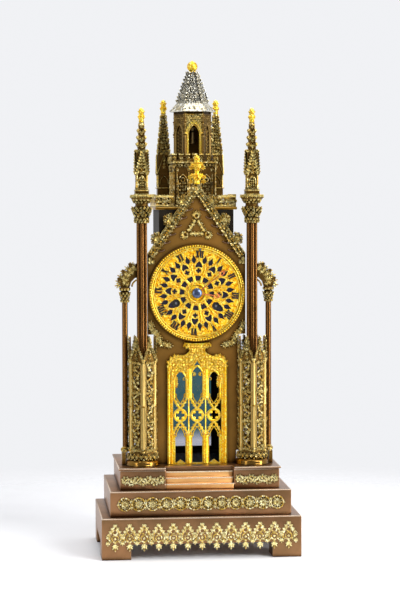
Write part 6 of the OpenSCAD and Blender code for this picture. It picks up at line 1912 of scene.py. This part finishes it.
@dataclass
class Studio:
    """Camera, floor, lamps and surroundings."""

    eye: tuple[float, float, float] = (-243.1, -2444.5, 454.8)
    azimuth: float = 5.872
    yaw: float = -0.0514
    pitch: float = -3.3312
    roll: float = -0.1253
    focal_px: float = 1925.14
    frame_px: float = 610.0

    def build(self) -> None:
        """Sets the view, the camera, the floor, the lamps and the world."""
        bpy.context.scene.view_settings.view_transform = "Standard"
        self.floor()
        self.lamp("key_softbox", (1150, -1550, 1450), (800, 800), 27.0)
        self.lamp("left_strip", (-1400, -1200, 500), (260, 1500), 7.0)
        self.lamp("right_strip", (1500, -950, 450), (260, 1500), 25.0)
        self.lamp("top_softbox", (0, 100, 1900), (1200, 1200), 18.0)
        self.world()

    def camera(self) -> None:
        """Places the camera where the fitted view has it."""
        a, yw, pt, rl = (math.radians(v) for v in (self.azimuth, self.yaw, self.pitch, self.roll))
        ahead = Vector((math.sin(a), math.cos(a), 0))
        right = Vector((math.cos(a), -math.sin(a), 0))
        up = Vector((0, 0, 1))
        ahead, right = math.cos(yw) * ahead + math.sin(yw) * right, math.cos(yw) * right - math.sin(yw) * ahead
        ahead, up = math.cos(pt) * ahead + math.sin(pt) * up, math.cos(pt) * up - math.sin(pt) * ahead
        right, up = math.cos(rl) * right + math.sin(rl) * up, math.cos(rl) * up - math.sin(rl) * right
        data = bpy.data.cameras.new("view_camera")
        data.sensor_width = 36.0
        data.lens = 36.0 * self.focal_px / self.frame_px
        data.clip_start, data.clip_end = 0.05, 60.0
        made = bpy.data.objects.new("view_camera", data)
        bpy.context.scene.collection.objects.link(made)
        turn = Matrix((right, up, -ahead)).transposed().to_4x4()
        made.matrix_world = Matrix.Translation(Vector(self.eye) * MM) @ turn
        bpy.context.scene.camera = made

    def floor(self) -> None:
        """A round pale floor that fades into the pale surroundings towards its rim."""
        form = lathe([(0, -0.4), (1600, -0.4), (1600, 0.0), (0, 0.0)], 96).moved(z=-0.05)
        mesh = bpy.data.meshes.new("studio_floor")
        mesh.from_pydata((form.points * MM).tolist(), [], form.quads.tolist() + form.tris.tolist())
        made = bpy.data.objects.new("studio_floor", mesh)
        bpy.context.scene.collection.objects.link(made)
        paint = bpy.data.materials.new("pale_floor")
        tree = emptied(paint)
        coords = add(tree, "TexCoord").outputs["Object"]
        tone = blend(tree, noise(tree, coords, 60.0, 2.0), "#f2f2f4", "#f8f8fa")
        shader = add(tree, "BsdfPrincipled", {"Base Color": tone, "Roughness": 0.7})
        reach = add(tree, "VectorMath", {0: coords}, operation="LENGTH").outputs["Value"]
        gone = ramp(tree, reach, 0.22, 0.8, interpolation_type="SMOOTHSTEP")
        clear = add(tree, "BsdfTransparent")
        mixed = add(tree, "MixShader", {0: gone, 1: shader.outputs[0], 2: clear.outputs[0]})
        add(tree, "OutputMaterial", {0: mixed.outputs[0]})
        mesh.materials.append(paint)

    def lamp(self, name: str, place: tuple[float, float, float], size: tuple[float, float], power: float) -> None:
        """A softbox that faces the clock's middle.

        Args:
            name: its name.
            place: where it stands, in millimetres.
            size: its width and height, in millimetres.
            power: its power in watts.
        """
        data = bpy.data.lights.new(name, "AREA")
        data.shape = "RECTANGLE"
        data.size, data.size_y = size[0] * MM, size[1] * MM
        data.energy = power
        made = bpy.data.objects.new(name, data)
        bpy.context.scene.collection.objects.link(made)
        spot = Vector(place) * MM
        made.location = spot
        made.rotation_mode = "QUATERNION"
        made.rotation_quaternion = (Vector((0, 0, 0.32)) - spot).to_track_quat("-Z", "Y")

    def world(self) -> None:
        """Pale surroundings: white behind the clock, greyer overhead and towards the dark of the room in front."""
        made = bpy.data.worlds.new("studio_room")
        bpy.context.scene.world = made
        tree = emptied(made)
        parts = add(tree, "SeparateXYZ", {"Vector": add(tree, "TexCoord").outputs["Generated"]})
        back = ramp(tree, parts.outputs["Y"], -0.8, 0.4, 0.42, 1.0, interpolation_type="SMOOTHSTEP")
        over = ramp(tree, parts.outputs["Z"], 0.3, 0.95, 1.0, 0.7, interpolation_type="SMOOTHSTEP")
        level = add(tree, "Math", {0: back, 1: over}, operation="MULTIPLY")
        path = add(tree, "LightPath")
        seen = add(tree, "Math", {0: level.outputs[0], 1: 0.95}, operation="MULTIPLY")
        direct = add(tree, "Mix", {"Factor": path.outputs["Is Camera Ray"], "A": seen.outputs[0], "B": 0.97},
                     data_type="FLOAT")
        glow = add(tree, "Background", {"Color": linear("#f4f5f8"), "Strength": direct.outputs[0]})
        add(tree, "OutputWorld", {0: glow.outputs[0]})


def report_sizes() -> None:
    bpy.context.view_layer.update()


def main() -> None:
    """Builds the camera, the clock's sub-assemblies in order, and the studio."""
    logging.basicConfig(level=logging.INFO, format="%(message)s")
    studio = Studio()
    studio.camera()
    for part in (Plinth(), Gable(), Dial(), Portal(), Columns(), Pinnacles(), Tower(), Works()):
        part.build()
        LOG.info("%s built", type(part).__name__)
    studio.build()
    report_sizes()


if __name__ == "__main__":
    main()
